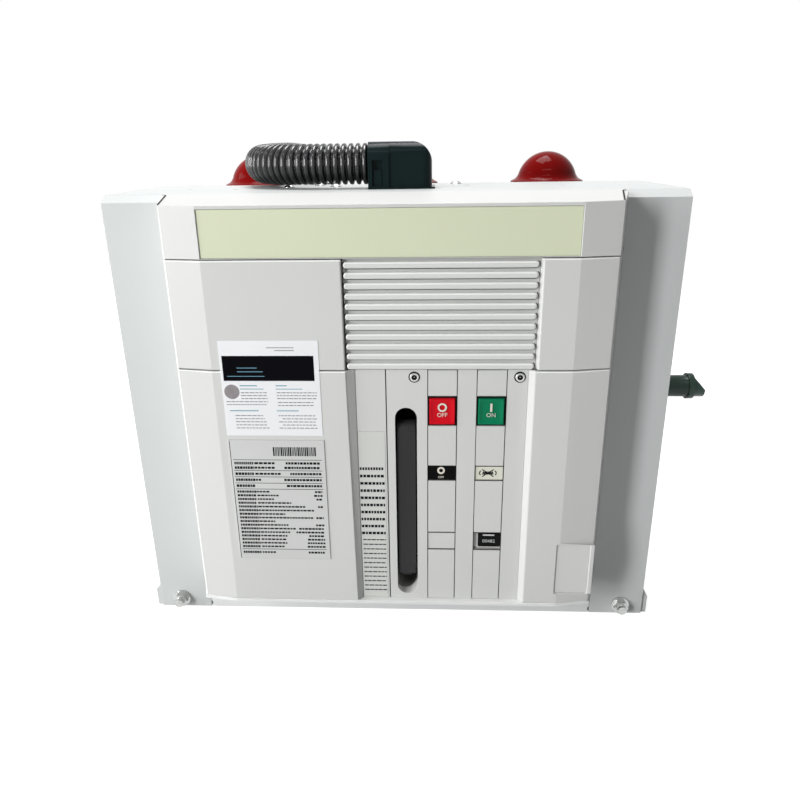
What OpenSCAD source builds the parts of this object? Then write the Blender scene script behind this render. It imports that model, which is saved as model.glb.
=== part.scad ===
// Indoor vacuum circuit breaker, fixed pattern: a sheet steel drive housing with a moulded
// front cover, a control panel and a conduit elbow, and three moulded poles behind it.
// The origin is on the floor, midway between the side walls and 65 mm behind the front
// plates. X runs to the right as seen from the front, Y runs to the back and Z runs up.

/* [Housing] */
// Width over the side walls
body_w = 450; // [420:1:500]
// Depth from the front plates to the back plate
body_d = 140; // [130:1:180]
// Height of the top plate's upper face above the floor
body_h = 376.5; // [360:0.5:420]
// Thickness of the steel sheets
sheet = 2; // [1.5:0.1:2.5]
// Depth of the slanted front edge of the top
chamfer_d = 8.5; // [5:0.5:12]
// Height of the slanted front edge of the top
chamfer_h = 5.5; // [4:0.5:8]
// Gap between the top band and the slanted tops of the wings
plate_gap = 2; // [0.6:0.1:3]

/* [Base rails] */
// Height of each base rail
rail_h = 20; // [18:1:26]
// Slanted outer upper edge of a rail
rail_bevel = 3; // [1:0.5:4]
// Width of each base rail
rail_w = 42; // [36:1:50]
// How far a rail stands out past the side wall
rail_out = 5; // [2:0.5:8]
// How far the rails reach behind the back plate
rail_back = 125; // [115:1:150]
// Wall of the rails
rail_wall = 2.5; // [2:0.1:4]
// Diameter of the fixing holes in the rails
rail_hole_d = 11; // [9:0.5:13]

/* [Moulded cover] */
// Distance from the front plates to the flat face of the cover
cover_d = 45; // [38:1:55]
// Width of the flat face
face_w = 274; // [268:1:284]
// Width of the cover at the outer edge of its bevels
cover_w = 331; // [325:1:340]
// Width of the cover where it meets the front plates
root_w = 355; // [348:1:362]
// How far the bevels fall back from the face
bevel_d = 5; // [3:0.5:8]
// Height of the cover's lower edge above the floor
cover_z = 42; // [30:1:55]
// Height of the joint between the lower and the middle covers
seam_low = 249.5; // [244:0.5:255]
// Height of the top band at the face
band_h = 38; // [32:0.5:44]
// How far the cover's upper edge lies below the top plate
cover_drop = 5; // [3:0.5:9]
// Wall of the moulded parts
wall = 3; // [2:0.25:4]
// Width of the joints between the moulded parts
seam = 0.8; // [0.4:0.1:1.5]

/* [Grille and panel] */
// Left edge of the grille and the panel
panel_x0 = -34; // [-40:1:-30]
// Right edge of the grille and the panel
panel_x1 = 109; // [105:1:115]
// Depth of the recess that the ribs and the panel lie in
recess_d = 5; // [3:0.5:8]
// Width of the slanted left side of the panel recess at its upper end
slant_left = 6.7; // [4:0.1:9]
// How much narrower that slanted side is at its lower end
slant_taper = 2.7; // [0:0.1:3]
// Width of the slanted right side of the panel recess
slant_right = 4.2; // [2:0.1:6]
// Width of the slanted right side of the grille's recess
slant_grille = 1.6; // [0.5:0.1:2]
// Number of ribs
ribs = 11; // [9:1:13]
// Height of one rib
rib_h = 4.8; // [4:0.2:5.4]
// Thickness of the pale strip, the plates and the label
plate_t = 0.8; // [0.5:0.1:1.2]

/* [Controls] */
// Width of a push button
button_w = 20.6; // [18:0.2:21]
// Height of a push button
button_h = 22; // [19:0.2:24]
// Gap round a push button
button_gap = 0.3; // [0.3:0.1:0.6]
// Wall of the black button housing
button_wall = 0.5; // [0.4:0.1:0.8]
// How far a push button stands out of the panel
button_out = 1.5; // [1:0.5:4]
// Travel of a push button
button_travel = 4; // [3:0.5:5]
// Width of the lever slot
slot_w = 17.2; // [16.8:0.1:20]
// Height of the lever slot
slot_h = 171; // [165:1:175]
// Width of the charging lever
lever_w = 14.8; // [12:0.2:15]
// Thickness of the charging lever
lever_t = 16; // [12:1:18]
// Length of the charging lever from its pivot to its tip
lever_len = 129; // [110:1:133]
// Diameter of the lever's pivot pin
pivot_d = 6; // [5:0.5:8]

/* [Poles] */
// Distance between the middles of neighbouring poles
pole_pitch = 150; // [145:1:160]
// Distance from the back plate to the middle of a pole
pole_y = 78; // [72:1:90]
// Diameter of a pole's body
pole_d = 84; // [78:1:88]
// Diameter of the sheds round a pole
shed_d = 94; // [90:1:96]
// Height of the lower end of a pole above the floor
pole_z = 34; // [30:1:45]
// Height of the shoulder under the dome
shoulder_z = 373.5; // [365:0.5:380]
// Diameter of the rim under the dome
rim_d = 74; // [68:1:80]
// Diameter of the dome
dome_d = 61; // [54:1:64]
// Distance between the upper and the lower terminals
terminal_gap = 205; // [190:1:215]
// Height of the lower terminals
terminal_z = 95; // [85:1:105]
// Width of a terminal bar
bar_w = 60; // [50:1:66]
// Thickness of a terminal bar
bar_t = 10; // [8:0.5:14]
// How far a terminal bar reaches behind the middle of its pole
bar_reach = 140; // [125:1:150]
// Diameter of a terminal's bolt holes
bar_hole_d = 13; // [11:0.5:14]
// Distance between a terminal's bolt holes
bar_hole_gap = 30; // [25:1:34]

/* [Conduit] */
// Outside diameter of the corrugated conduit
hose_d = 33; // [30:1:36]
// Width and depth of the elbow
elbow_w = 36; // [34:0.1:40]
// Length of the elbow's collar round the conduit
collar_len = 16.2; // [14:0.1:20]
// Height of the conduit's middle above the top plate where it leaves the elbow
hose_rise = 19.5; // [18.5:0.5:22]

/* [Hidden] */

$fn = 64;
touch = 0.01;                       // cuts run this far past a face
half_w = body_w / 2;
front_y = -65;                      // outer face of the front plates
back_y = front_y + body_d;          // outer face of the back plate
face_y = front_y - cover_d;         // flat face of the cover
panel_y = face_y + recess_d;        // front of the recessed panel
wing_top = body_h - chamfer_h;      // where the slanted edge starts
cover_top = body_h - cover_drop;    // upper edge of the cover at the face
seam_high = cover_top - band_h;     // joint between the middle covers and the top band
pole_axis_y = back_y + pole_y;
panel_in0 = panel_x0 + slant_left;
panel_in1 = panel_x1 - slant_right;
side_gap = 0.2;                     // between the panel and the slanted sides of its recess

// Colours
cover_grey = [0.80, 0.81, 0.80];
steel_grey = [0.82, 0.84, 0.84];
dark = [0.08, 0.09, 0.09];
epoxy_red = [0.50, 0.04, 0.04];
copper = [0.72, 0.43, 0.30];
zinc = [0.72, 0.73, 0.72];

// A block from its lowest and highest corners
module block(low, high) {
    translate(low) cube(high - low);
}

// ---- base and sheet steel housing ----

// Draws its children in Y and Z and runs them along X from x0 to x1
module along_x(x0, x1) {
    translate([x0, 0, 0]) rotate([90, 0, 90]) linear_extrude(x1 - x0) children();
}
// Stands a drawing of X and Z upright, with its front at y and a depth of d to the back
module upright(y, d) {
    translate([0, y + d, 0]) rotate([90, 0, 0]) linear_extrude(d) children();
}

// A closed rectangular tube along one side, on which the breaker stands
module rail(side) {
    out = half_w + rail_out;
    mid = side * (out - rail_w / 2);
    y0 = front_y + sheet;
    y1 = back_y + rail_back;
    color(steel_grey) difference() {
        upright(y0, y1 - y0) polygon([[side * (out - rail_w), 0], [side * out, 0],
            [side * out, rail_h - rail_bevel], [side * (out - rail_bevel), rail_h],
            [side * (out - rail_w), rail_h]]);
        block([mid - rail_w / 2 + rail_wall, y0 + rail_wall, rail_wall],
            [mid + rail_w / 2 - rail_wall - rail_bevel / 2, y1 - rail_wall, rail_h - rail_wall - rail_bevel / 2]);
        for (y = rail_hole_ys)
            translate([mid, y, -1]) cylinder(d = rail_hole_d, h = rail_wall + 2);
        translate([side * bolt_x, y0 - 1, bolt_z]) rotate([-90, 0, 0])
            cylinder(d = bolt_d + 0.4, h = rail_wall + 2);
    }
}
rail_hole_ys = [front_y + 35, back_y + rail_back - 25];
bolt_x = half_w - 20;
bolt_z = 9.5;
bolt_d = 8;

module rail_left() { rail(-1); }
module rail_right() { rail(1); }

// The steel bar that ties the rails together under the poles
module rear_cross_member() {
    inner = half_w + rail_out - rail_w;
    y1 = back_y + rail_back;
    color(steel_grey) difference() {
        block([-inner, y1 - cross_w, 0], [inner, y1, rail_h]);
        block([-inner + rail_wall, y1 - cross_w + rail_wall, rail_wall],
            [inner - rail_wall, y1 - rail_wall, rail_h - rail_wall]);
    }
}
cross_w = 30;

module base_plate() {
    inner = half_w + rail_out - rail_w;
    color(steel_grey) block([-inner, front_y + sheet, 0], [inner, back_y, sheet]);
}

// Both side walls and the back, folded from one sheet. Its upper edges follow the top plate
// and the slanted tops of the wings
module housing_shell() {
    inner = half_w + rail_out - rail_w;
    color(steel_grey) {
        for (x = [-half_w, half_w - sheet]) along_x(x, x + sheet)
            polygon([[front_y + sheet, rail_h], [front_y + sheet, wing_top - sheet * 0.4],
                [front_y + chamfer_d, body_h - sheet * 1.3], [front_y + chamfer_d, body_h - sheet],
                [back_y, body_h - sheet], [back_y, rail_h]]);
        block([-half_w, back_y - sheet, rail_h], [half_w, back_y, body_h - sheet]);
        block([-inner, back_y - sheet, sheet], [inner, back_y, rail_h + 1]);
    }
}

// Outline of a wing from the side: upright, then slanted back to the top plate
module wing_outline() {
    polygon([[front_y, 0], [front_y, wing_top], [front_y + chamfer_d, body_h],
        [front_y + chamfer_d, body_h - sheet * 1.3], [front_y + sheet, wing_top - sheet * 0.4],
        [front_y + sheet, 0]]);
}
plate_x = root_w / 2;               // joint between the middle plate and the wings
joint_gap = 0.2;

module wing(side) {
    color(steel_grey) difference() {
        along_x(side > 0 ? plate_x + joint_gap / 2 : -half_w,
            side > 0 ? half_w : -plate_x - joint_gap / 2) wing_outline();
        translate([side * bolt_x, front_y - 1, bolt_z]) rotate([-90, 0, 0])
            cylinder(d = bolt_d + 0.4, h = sheet + 2);
    }
}
module wing_left() { wing(-1); }
module wing_right() { wing(1); }

// The plate behind the moulded cover, with a short slot at each joint. It shows as a strip
// below the cover, under the folded lip that carries it
module front_plate() {
    end = plate_x - joint_gap / 2;
    color(steel_grey) {
        difference() {
            block([-end, front_y, 0], [end, front_y + sheet, wing_top]);
            for (side = [-1, 1]) block([side * end - slit_w, front_y - 1, slit_z],
                [side * end + slit_w, front_y + sheet + 1, slit_z + slit_h]);
        }
        intersection() {
            translate([0, 0, cover_z - lip_gap - lip_t]) linear_extrude(lip_t) cover_plan(-lip_out);
            block([-end, face_y - 2, 0], [end, front_y, cover_z]);
        }
    }
}
slit_w = 1.2;
slit_z = 2;
slit_h = 3.5;
lip_t = 2.4;
lip_gap = 0.5;                      // under the cover's lower edge
lip_out = 0.6;                      // how far the lip stands out past the cover

module top_plate() {
    color(steel_grey) difference() {
        block([-half_w, front_y + chamfer_d, body_h - sheet], [half_w, back_y, body_h]);
        for (p = top_holes) translate([p.x, p.y, body_h - sheet - 1]) cylinder(d = 4.5, h = sheet + 2);
        for (p = top_screws)
            translate([p.x, p.y, body_h - sheet - 1]) cylinder(d = screw_d + 0.2, h = sheet + 2);
        translate([elbow_x0 + elbow_w / 2, elbow_y, body_h - sheet - 1])
            cylinder(d = elbow_w - 10, h = sheet + 2);
    }
}
top_holes = [[-182, 20], [-137, 4], [62, 30], [143, 10]];
top_screws = [[-94.5, 24], [-54, 31], [-72, 55], [53, 60]];
screw_d = 5;

// ---- moulded cover ----

// Plan of the cover, drawn in by t on the sides and the front
module cover_plan(t = 0) {
    back = front_y + (t > 0 ? 1 : 0);
    polygon([[-root_w / 2 + t, back], [-cover_w / 2 + t, face_y + bevel_d + t],
        [-face_w / 2 + t / 2, face_y + t], [face_w / 2 - t / 2, face_y + t],
        [cover_w / 2 - t, face_y + bevel_d + t], [root_w / 2 - t, back]]);
}

// One moulded part of the cover: an open-backed shell whose front wall lies deeper by set
module cover_part(x0, x1, z0, z1, set = 0) {
    difference() {
        intersection() {
            translate([0, 0, z0]) linear_extrude(z1 - z0) cover_plan();
            block([x0, face_y - 1, z0 - 1], [x1, front_y + 1, z1 + 1]);
        }
        intersection() {
            translate([0, 0, z0 + wall]) linear_extrude(z1 - z0 - 2 * wall) cover_plan(wall);
            block([x0 + wall, face_y + set + wall, z0], [x1 - wall, front_y + 2, z1]);
        }
    }
}

strip_inset = 0.5;                  // the pale strip stops this short of the face's ends
strip_z0 = seam_high + 0.8;
strip_z1 = cover_top - 2.5;

// Runs back over the front plate to the top plate, so its roof rises all the way
module cover_top_band() {
    z0 = seam_high + seam / 2;
    rise = (body_h - cover_top) / (cover_d + chamfer_d);
    color(cover_grey) difference() {
        union() {
            intersection() {
                along_x(-half_w, half_w) polygon([[face_y, z0], [face_y, cover_top],
                    [front_y, cover_top + rise * cover_d], [front_y, z0]]);
                translate([0, 0, z0]) linear_extrude(body_h - z0) cover_plan();
            }
            along_x(-plate_x + plate_gap, plate_x - plate_gap)
                polygon([[front_y, wing_top], [front_y, cover_top + rise * cover_d],
                    [front_y + chamfer_d, body_h], [front_y + chamfer_d, wing_top]]);
        }
        intersection() {
            along_x(-half_w, half_w) polygon([[face_y, z0 + wall], [face_y, cover_top - wall],
                [front_y, wing_top - 0.5], [front_y + 1, wing_top - 0.5], [front_y + 1, z0 + wall]]);
            translate([0, 0, z0]) linear_extrude(body_h - z0) cover_plan(wall);
        }
        block([-face_w / 2 + strip_inset, face_y - 1, strip_z0],
            [face_w / 2 - strip_inset, face_y + strip_set + plate_t, strip_z1]);
    }
}
strip_set = 0.8;                    // how deep the pale strip lies in the band

module pale_strip() {
    gap = 0.3;
    color([0.83, 0.86, 0.74])
        block([-face_w / 2 + strip_inset + gap, face_y + strip_set, strip_z0 + gap],
            [face_w / 2 - strip_inset - gap, face_y + strip_set + plate_t, strip_z1 - gap]);
}

module cover_middle_left() {
    color(cover_grey) cover_part(-half_w, panel_x0 - seam / 2,
        seam_low + seam / 2, seam_high - seam / 2);
}
module cover_middle_right() {
    x0 = panel_x1 + seam / 2;
    color(cover_grey) difference() {
        cover_part(x0, half_w, seam_low + seam / 2, seam_high - seam / 2);
        return_cut(x0 + slant_grille, x0, -2, seam_low, seam_high);
    }
}
// Its right edge slants back to the panel, and is wider at the top than at the bottom
module cover_lower_left() {
    z1 = seam_low - seam / 2;
    color(cover_grey) difference() {
        cover_part(-half_w, panel_in0 - side_gap / 2, cover_z, z1);
        intersection() {
            return_cut(panel_x0, panel_in0, 2);
            upright(face_y - 2, recess_d + 3) polygon([[panel_x0, z1], [panel_x0, z1 + 2],
                [panel_in0 + 3, z1 + 2], [panel_in0 + 3, cover_z - 2],
                [panel_x0 + slant_taper, cover_z - 2], [panel_x0 + slant_taper, cover_z]]);
        }
    }
}

// Cuts off the corner beside a recess between the heights z0 and z1, from x_face on the flat
// face to x_in at the recess's depth, and runs on past that by over
module return_cut(x_face, x_in, over, z0 = cover_z, z1 = seam_low) {
    out = face_y - 1;
    translate([0, 0, z0 - 1]) linear_extrude(z1 - z0 + 2)
        polygon([[x_in + (x_face - x_in) * (recess_d + 1) / recess_d, out], [x_in, panel_y],
            [x_in + over, panel_y], [x_in + over, out]]);
}

// A raised pad on its bevel runs level with the face, and a shallow window in the pad holds
// the blank plate
module cover_lower_right() {
    color(cover_grey) difference() {
        union() {
            cover_part(panel_in1 + side_gap / 2, half_w, cover_z, seam_low - seam / 2);
            block([blank_x - pad_rim, face_y, blank_z - pad_rim],
                [cover_w / 2, face_y + bevel_d + wall / 2, blank_z + blank_h + pad_rim]);
        }
        return_cut(panel_x1, panel_in1, -2);
        block([blank_x, face_y - 1, blank_z],
            [blank_x + blank_w, face_y + blank_set + plate_t, blank_z + blank_h]);
    }
}
blank_x = face_w / 2 - 2;
blank_w = 27;
blank_h = 46.5;
blank_z = cover_z + 10.5;
blank_set = 1.2;
pad_rim = 1;

module corner_blank_plate() {
    gap = 0.2;
    color(cover_grey) block([blank_x + gap, face_y + blank_set, blank_z + gap],
        [blank_x + blank_w - gap, face_y + blank_set + plate_t, blank_z + blank_h - gap]);
}

// Flat horizontal ribs with rounded ends, which stand out of a shallow recess
module rib_grille() {
    x0 = panel_x0 + seam / 2;
    x1 = panel_x1 - seam / 2;
    z0 = seam_low + seam / 2;
    z1 = seam_high - seam / 2;
    pitch = (z1 - z0 - rib_h - rib_top_gap) / (ribs - 1);
    color(cover_grey) {
        difference() {
            cover_part(x0, x1, z0, z1, recess_d);
            block([x0 - 1, face_y - 1, z0 - 1], [x1 + 1, panel_y, z1 + 1]);
        }
        for (i = [0 : ribs - 1]) translate([0, 0, z0 + i * pitch])
            upright(panel_y - recess_d * rib_share, recess_d * rib_share)
                rib(x0 + rib_end_gap, x1 - rib_end_gap);
    }
}
rib_top_gap = 2;                    // from the uppermost rib to the band above it
rib_end_gap = 0.4;
rib_share = 0.66;                   // how much of the recess a rib fills

// Outline of a rib that stands on Z = 0, from its left end to its right end
module rib(left, right) {
    r = rib_h / 2;
    translate([left + r, 0]) square([right - left - rib_h, rib_h]);
    for (x = [left + r, right - r]) translate([x, r]) circle(r = r);
}

// ---- control panel ----

col_c = 39.7;                       // middle of the left column of controls
col_e = 77.5;                       // middle of the right column of controls
button_z = 215;
flag_z = 161.4;                     // middle of the two indicators
flag_w = 22.6;
flag_h = 12.4;
window_z = 98.7;                    // middle of the blank window and the counter
window_h = 16;
slot_x = 11.2;
slot_z = 46.8;                      // lower end of the lever slot
screw_z = 243;
screw_xs = [18, 98.5];
housing_w = button_w + 2 * (button_gap + button_wall);
housing_h = button_h + 2 * (button_gap + button_wall);
groove = 0.9;                       // width of the groove beside the label
groove_d = 1.4;
grooves = [-4, 28, 51.4, 65.8, 89.3];

module stadium(w, h) {
    translate([0, w / 2]) circle(d = w);
    translate([0, h - w / 2]) circle(d = w);
    translate([-w / 2, w / 2]) square([w, h - w]);
}

// The two columns of controls
columns = [[grooves[1], grooves[2]], [grooves[3], grooves[4]]];
column_set = 0.4;
insert_t = 1.2;

module control_panel() {
    z0 = cover_z;
    z1 = seam_low - seam / 2;
    x0 = panel_in0 + side_gap / 2;
    x1 = panel_in1 - side_gap / 2;
    color(cover_grey) slot_foot();
    color(cover_grey) difference() {
        cover_part(x0, x1, z0, z1, recess_d);
        block([x0 - 1, face_y - 1, z0 - 1], [x1 + 1, panel_y, z1 + 1]);
        for (c = columns)
            block([c[0], panel_y - 1, z0 - 1], [c[1], panel_y + column_set + insert_t, z1 + 1]);
        block([grooves[0] - groove / 2, panel_y - 1, z0 - 1],
            [grooves[0] + groove / 2, panel_y + groove_d, z1 + 1]);
        translate([slot_x, 0, slot_z]) upright(panel_y - 1, wall + 2) stadium(slot_w, slot_h);
        for (x = [col_c, col_e]) {
            control_hole(x, button_z, housing_w, housing_h);
            control_hole(x, flag_z, flag_w, flag_h);
        }
        control_hole(col_e, window_z, flag_w, window_h);
        block([x0 - 1, panel_y - 1, cover_z + 1], [grooves[0] - 1.5, panel_y + plate_t, label_top]);
        for (x = screw_xs)
            translate([x, panel_y - 1, screw_z]) rotate([-90, 0, 0])
                cylinder(d = shank_d + 0.4, h = wall + 2);
    }
}
module control_hole(x, z, w, h) {
    block([x - w / 2, panel_y - 1, z - h / 2], [x + w / 2, panel_y + wall + 1, z + h / 2]);
}
label_top = 198;

// The rounded foot of the lever slot runs back behind the panel as a short closed trough
module slot_foot() {
    y1 = panel_y + foot_d;
    translate([slot_x, 0, slot_z]) {
        upright(panel_y + wall, y1 - panel_y - wall) difference() {
            foot_outline(foot_wall);
            foot_outline(0);
        }
        upright(y1 - foot_wall, foot_wall) foot_outline(foot_wall);
    }
}
foot_d = 28;
foot_h = 15;
foot_wall = 1.2;
module foot_outline(grow) {
    intersection() {
        translate([0, -grow]) stadium(slot_w + 2 * grow, slot_h);
        translate([-slot_w, -grow]) square([2 * slot_w, foot_h + grow]);
    }
}

module label_strip() {
    gap = 0.2;
    color([0.75, 0.76, 0.74]) block([panel_in0 + side_gap / 2 + gap, panel_y, cover_z + 1 + gap],
        [grooves[0] - 1.5 - gap, panel_y + plate_t, label_top - gap]);
}

module data_sticker() {
    color([0.94, 0.95, 0.96]) block([sticker_x, face_y - sticker_t, sticker_z],
        [sticker_x + sticker_w, face_y, sticker_z + sticker_h]);
}
sticker_x = -130.3;
sticker_z = 196;
sticker_w = 76.3;
sticker_h = 77.3;
sticker_t = 0.3;

module rating_plate() {
    color([0.72, 0.73, 0.73]) block([rating_x, face_y - plate_t, rating_z],
        [rating_x + rating_w, face_y, rating_z + rating_h]);
}
rating_x = -130;
rating_z = 83.5;
rating_w = 76.6;
rating_h = 108.8;

// Flat inserts between the controls, and the blank one that fills the unused window
module panel_inserts() {
    gap = 0.6;
    y = panel_y + column_set;
    rows = [[cover_z, window_z - window_h / 2], [window_z + window_h / 2, flag_z - flag_h / 2],
        [flag_z + flag_h / 2, button_z - housing_h / 2], [button_z + housing_h / 2, seam_low - seam / 2]];
    color(cover_grey) {
        for (c = columns, r = rows)
            block([c[0] + gap, y, r[0] + gap], [c[1] - gap, y + insert_t, r[1] - gap]);
        block([columns[0][0] + gap, y + insert_t / 3, window_z - window_h / 2 + gap],
            [columns[0][1] - gap, y + insert_t, window_z + window_h / 2 - gap]);
    }
}

// Two socket cap screws
module panel_screws() {
    color(zinc) for (x = screw_xs) translate([x, panel_y - cap_h, screw_z]) rotate([-90, 0, 0])
        difference() {
            union() {
                cylinder(d = cap_d, h = cap_h);
                cylinder(d = shank_d, h = cap_h + wall);
            }
            translate([0, 0, -1]) cylinder(d = socket_d, h = socket_depth + 1, $fn = 6);
        }
}
cap_d = 8.5;
cap_h = 2.4;
shank_d = 5;
socket_d = 4.6;
socket_depth = 1.8;

// Box behind the slot, with the lever's pivot pin across it
guide_wall = 1.5;
guide_d = 32;
guide_low = foot_h + 4;             // its open lower end clears the slot's foot
lever_set = 2.5;                    // the lever's front lies this deep in its slot
pivot_y = panel_y + lever_set + lever_t / 2;
pivot_z = slot_z + 28;
module lever_guide() {
    y0 = panel_y + wall;
    color(dark) difference() {
        block([slot_x - slot_w / 2 - guide_wall, y0, slot_z + guide_low],
            [slot_x + slot_w / 2 + guide_wall, y0 + guide_d, slot_z + slot_h + guide_wall]);
        block([slot_x - slot_w / 2, y0 - 1, slot_z + guide_low - 1],
            [slot_x + slot_w / 2, y0 + guide_d - guide_wall, slot_z + slot_h]);
    }
    color(zinc) translate([slot_x - slot_w / 2 - guide_wall / 2, pivot_y, pivot_z]) rotate([0, 90, 0])
        cylinder(d = pivot_d, h = slot_w + guide_wall);
}

// Swings out and down about its lower end to charge the spring
pivot_gap = 0.05;
module charging_lever() {
    color([0.30, 0.31, 0.32]) translate([slot_x - lever_w / 2, pivot_y, pivot_z])
        rotate([90, 0, 90]) linear_extrude(lever_w) difference() {
            union() {
                circle(d = lever_t);
                translate([-lever_t / 2, 0]) square([lever_t, lever_len - lever_t / 2]);
                translate([0, lever_len - lever_t / 2]) circle(d = lever_t);
            }
            circle(d = pivot_d + 2 * pivot_gap);
        }
}

// Black box with a rim round each push button
housing_d = 24;
module button_housing() {
    color(dark) for (x = [col_c, col_e]) difference() {
        union() {
            block([x - housing_w / 2, panel_y + 0.2, button_z - housing_h / 2],
                [x + housing_w / 2, panel_y + housing_d, button_z + housing_h / 2]);
            block([x - housing_w / 2 - 1.5, panel_y + wall, button_z - housing_h / 2 - 1.5],
                [x + housing_w / 2 + 1.5, panel_y + housing_d, button_z + housing_h / 2 + 1.5]);
        }
        block([x - button_w / 2 - button_gap, panel_y - 1, button_z - button_h / 2 - button_gap],
            [x + button_w / 2 + button_gap, panel_y + housing_d - 3, button_z + button_h / 2 + button_gap]);
    }
}

// A cap that runs in the housing
module button(x) {
    translate([x, 0, 0]) block([-button_w / 2, panel_y - button_out, button_z - button_h / 2],
        [button_w / 2, panel_y + button_back, button_z + button_h / 2]);
}
button_back = housing_d - 3 - button_travel - 0.5;
module open_button() { color([0.75, 0.04, 0.10]) button(col_c); }
module close_button() { color([0.02, 0.42, 0.28]) button(col_e); }

// A flag in its small box behind a window
module flag(x, z, h) {
    y0 = panel_y + wall;
    block([x - flag_w / 2 - 1.5, y0, z - h / 2 - 1.5], [x + flag_w / 2 + 1.5, y0 + 10, z + h / 2 + 1.5]);
    block([x - flag_w / 2 + 0.2, panel_y + flag_set, z - h / 2 + 0.2],
        [x + flag_w / 2 - 0.2, y0, z + h / 2 - 0.2]);
}
flag_set = 1.4;
module state_indicator() { color(dark) flag(col_c, flag_z, flag_h); }
module spring_indicator() { color([0.85, 0.84, 0.76]) flag(col_e, flag_z, flag_h); }
module cycle_counter() {
    color(dark) flag(col_e, window_z, window_h);
    color(dark) block([col_e - 7.6, panel_y - 0.2, window_z - 5], [col_e + 11, panel_y + flag_set, window_z + 7.4]);
}

// ---- fixings on the outside ----

// The two fixing bolts at the foot of the wings and the low domed screws of the top plate
module housing_screws() {
    color(zinc) {
        for (side = [-1, 1]) translate([side * bolt_x, front_y, bolt_z]) rotate([90, 0, 0]) {
            cylinder(d = 16, h = 1.6);
            translate([0, 0, 1.6]) cylinder(d = 13, h = 5, $fn = 6);
            translate([0, 0, -sheet - rail_wall]) cylinder(d = bolt_d, h = 15);
        }
        for (p = top_screws) translate([p.x, p.y, body_h]) {
            translate([0, 0, -sheet - 3]) cylinder(d = screw_d, h = sheet + 3);
            cylinder(d = screw_head_d, h = 0.6);
            translate([0, 0, 0.6]) cylinder(d1 = screw_head_d, d2 = screw_head_d * 0.55, h = 1.6);
        }
    }
}
screw_head_d = 10;

// Locking pin on the right side wall, with a nose that slopes down to its tip
pin_d = 19;
pin_set = 40;                       // from the front plates to the pin
pin_y = front_y + pin_set;
pin_z = 209;
pin_len = 42;
pin_flange_d = 34;
pin_flange_t = 3;
ring_x = 28;                        // from the wall to the ring behind the nose
ring_t = 5;
module side_pin() {
    color([0.13, 0.22, 0.20]) translate([half_w, pin_y, pin_z]) {
        rotate([0, 90, 0]) {
            cylinder(d = pin_flange_d, h = pin_flange_t);
            cylinder(d = pin_d, h = ring_x + 1);
            translate([0, 0, ring_x]) cylinder(d = pin_d + 3.5, h = ring_t);
        }
        intersection() {
            rotate([0, 90, 0]) cylinder(d = pin_d, h = pin_len);
            upright(-pin_d, 2 * pin_d) polygon([[ring_x, -pin_d], [pin_len, -pin_d], [pin_len, -1],
                [ring_x + ring_t, pin_d / 2], [ring_x, pin_d / 2]]);
        }
    }
}

// ---- conduit ----

outlet_x = -21;                     // where the conduit enters the elbow's collar
elbow_x0 = outlet_x + collar_len;
elbow_y = 0;
hose_z = body_h + hose_rise;
elbow_top = hose_z + 17.2;
elbow_r = 17;                       // rounding of the elbow's outer corner
post_r = 9;                         // rounding of its upright right edges
brow_r = 12;                        // rounding of its upper edges along the conduit
collar_out = 1.6;                   // the collar stands out this far past the elbow

// Outline of the elbow across its width, with the two upper edges rounded
module elbow_outline(out) {
    w = elbow_w / 2 + out;
    r = brow_r + out;
    translate([elbow_y, 0]) {
        translate([-w, body_h]) square([2 * w, elbow_top - r - body_h]);
        translate([r - w, body_h]) square([2 * (w - r), elbow_top - body_h]);
        for (y = [r - w, w - r]) translate([y, elbow_top - r]) circle(r = r);
    }
}

// A moulded box with one large rounded corner, a square collar for the conduit with a latch
// window in its front, and a thin flange below
module conduit_elbow() {
    x1 = elbow_x0 + elbow_w;
    y0 = elbow_y - elbow_w / 2;
    color([0.10, 0.15, 0.15]) {
        intersection() {
            along_x(elbow_x0, x1) elbow_outline(0);
            upright(y0, elbow_w) {
                translate([elbow_x0, body_h]) square([elbow_w, elbow_top - elbow_r - body_h]);
                translate([elbow_x0, body_h]) square([elbow_w - elbow_r, elbow_top - body_h]);
                translate([x1 - elbow_r, elbow_top - elbow_r]) circle(r = elbow_r);
            }
            translate([0, 0, body_h]) linear_extrude(elbow_top - body_h) {
                translate([elbow_x0, y0]) square([elbow_w - post_r, elbow_w]);
                translate([elbow_x0, y0 + post_r]) square([elbow_w, elbow_w - 2 * post_r]);
                for (y = [y0 + post_r, y0 + elbow_w - post_r])
                    translate([x1 - post_r, y]) circle(r = post_r);
            }
        }
        difference() {
            along_x(outlet_x, elbow_x0 + 1) elbow_outline(collar_out);
            translate([latch_x, y0 - 2, latch_z]) cube([latch_w, 5, latch_h]);
        }
        translate([latch_x + 1.2, y0, latch_z]) cube([latch_w - 2, 4, latch_h * 0.62]);
        block([outlet_x, y0 - collar_out, body_h], [x1 + 2.4, y0 + elbow_w + collar_out, body_h + 1.4]);
    }
}
latch_x = outlet_x + 3.6;
latch_w = 8.4;
latch_z = body_h + 2.5;
latch_h = 20;

// The route of the free conduit, from the elbow to its plug
route = [[outlet_x, 0, hose_z], [-38, 0, hose_z], [-62, 1.5, hose_z], [-86, 7, hose_z],
    [-108, 22, hose_z], [-121, 46, hose_z], [-124, 75, hose_z + 1], [-119, 105, hose_z + 2],
    [-109, 134, hose_z + 2], [-100, 161, hose_z - 1], [-94, 187, 385],
    [-90, 210, 364], [-88, 225, 337], [-88, 233, 305], [-88, 237, 269], [-88, 240, 228],
    [-88, 241, 185], [-86, 242, 146], [-80, 243, 109], [-68, 244, 76], [-49, 245, 47], [-22, 246, 26],
    [8, 246, 18], [40, 246, 17], [75, 246, 17], [110, 246, 17]];

function unit(v) = v / norm(v);
function ring_dir(p, i) = unit(p[min(i + 1, len(p) - 1)] - p[max(i - 1, 0)]);
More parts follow.
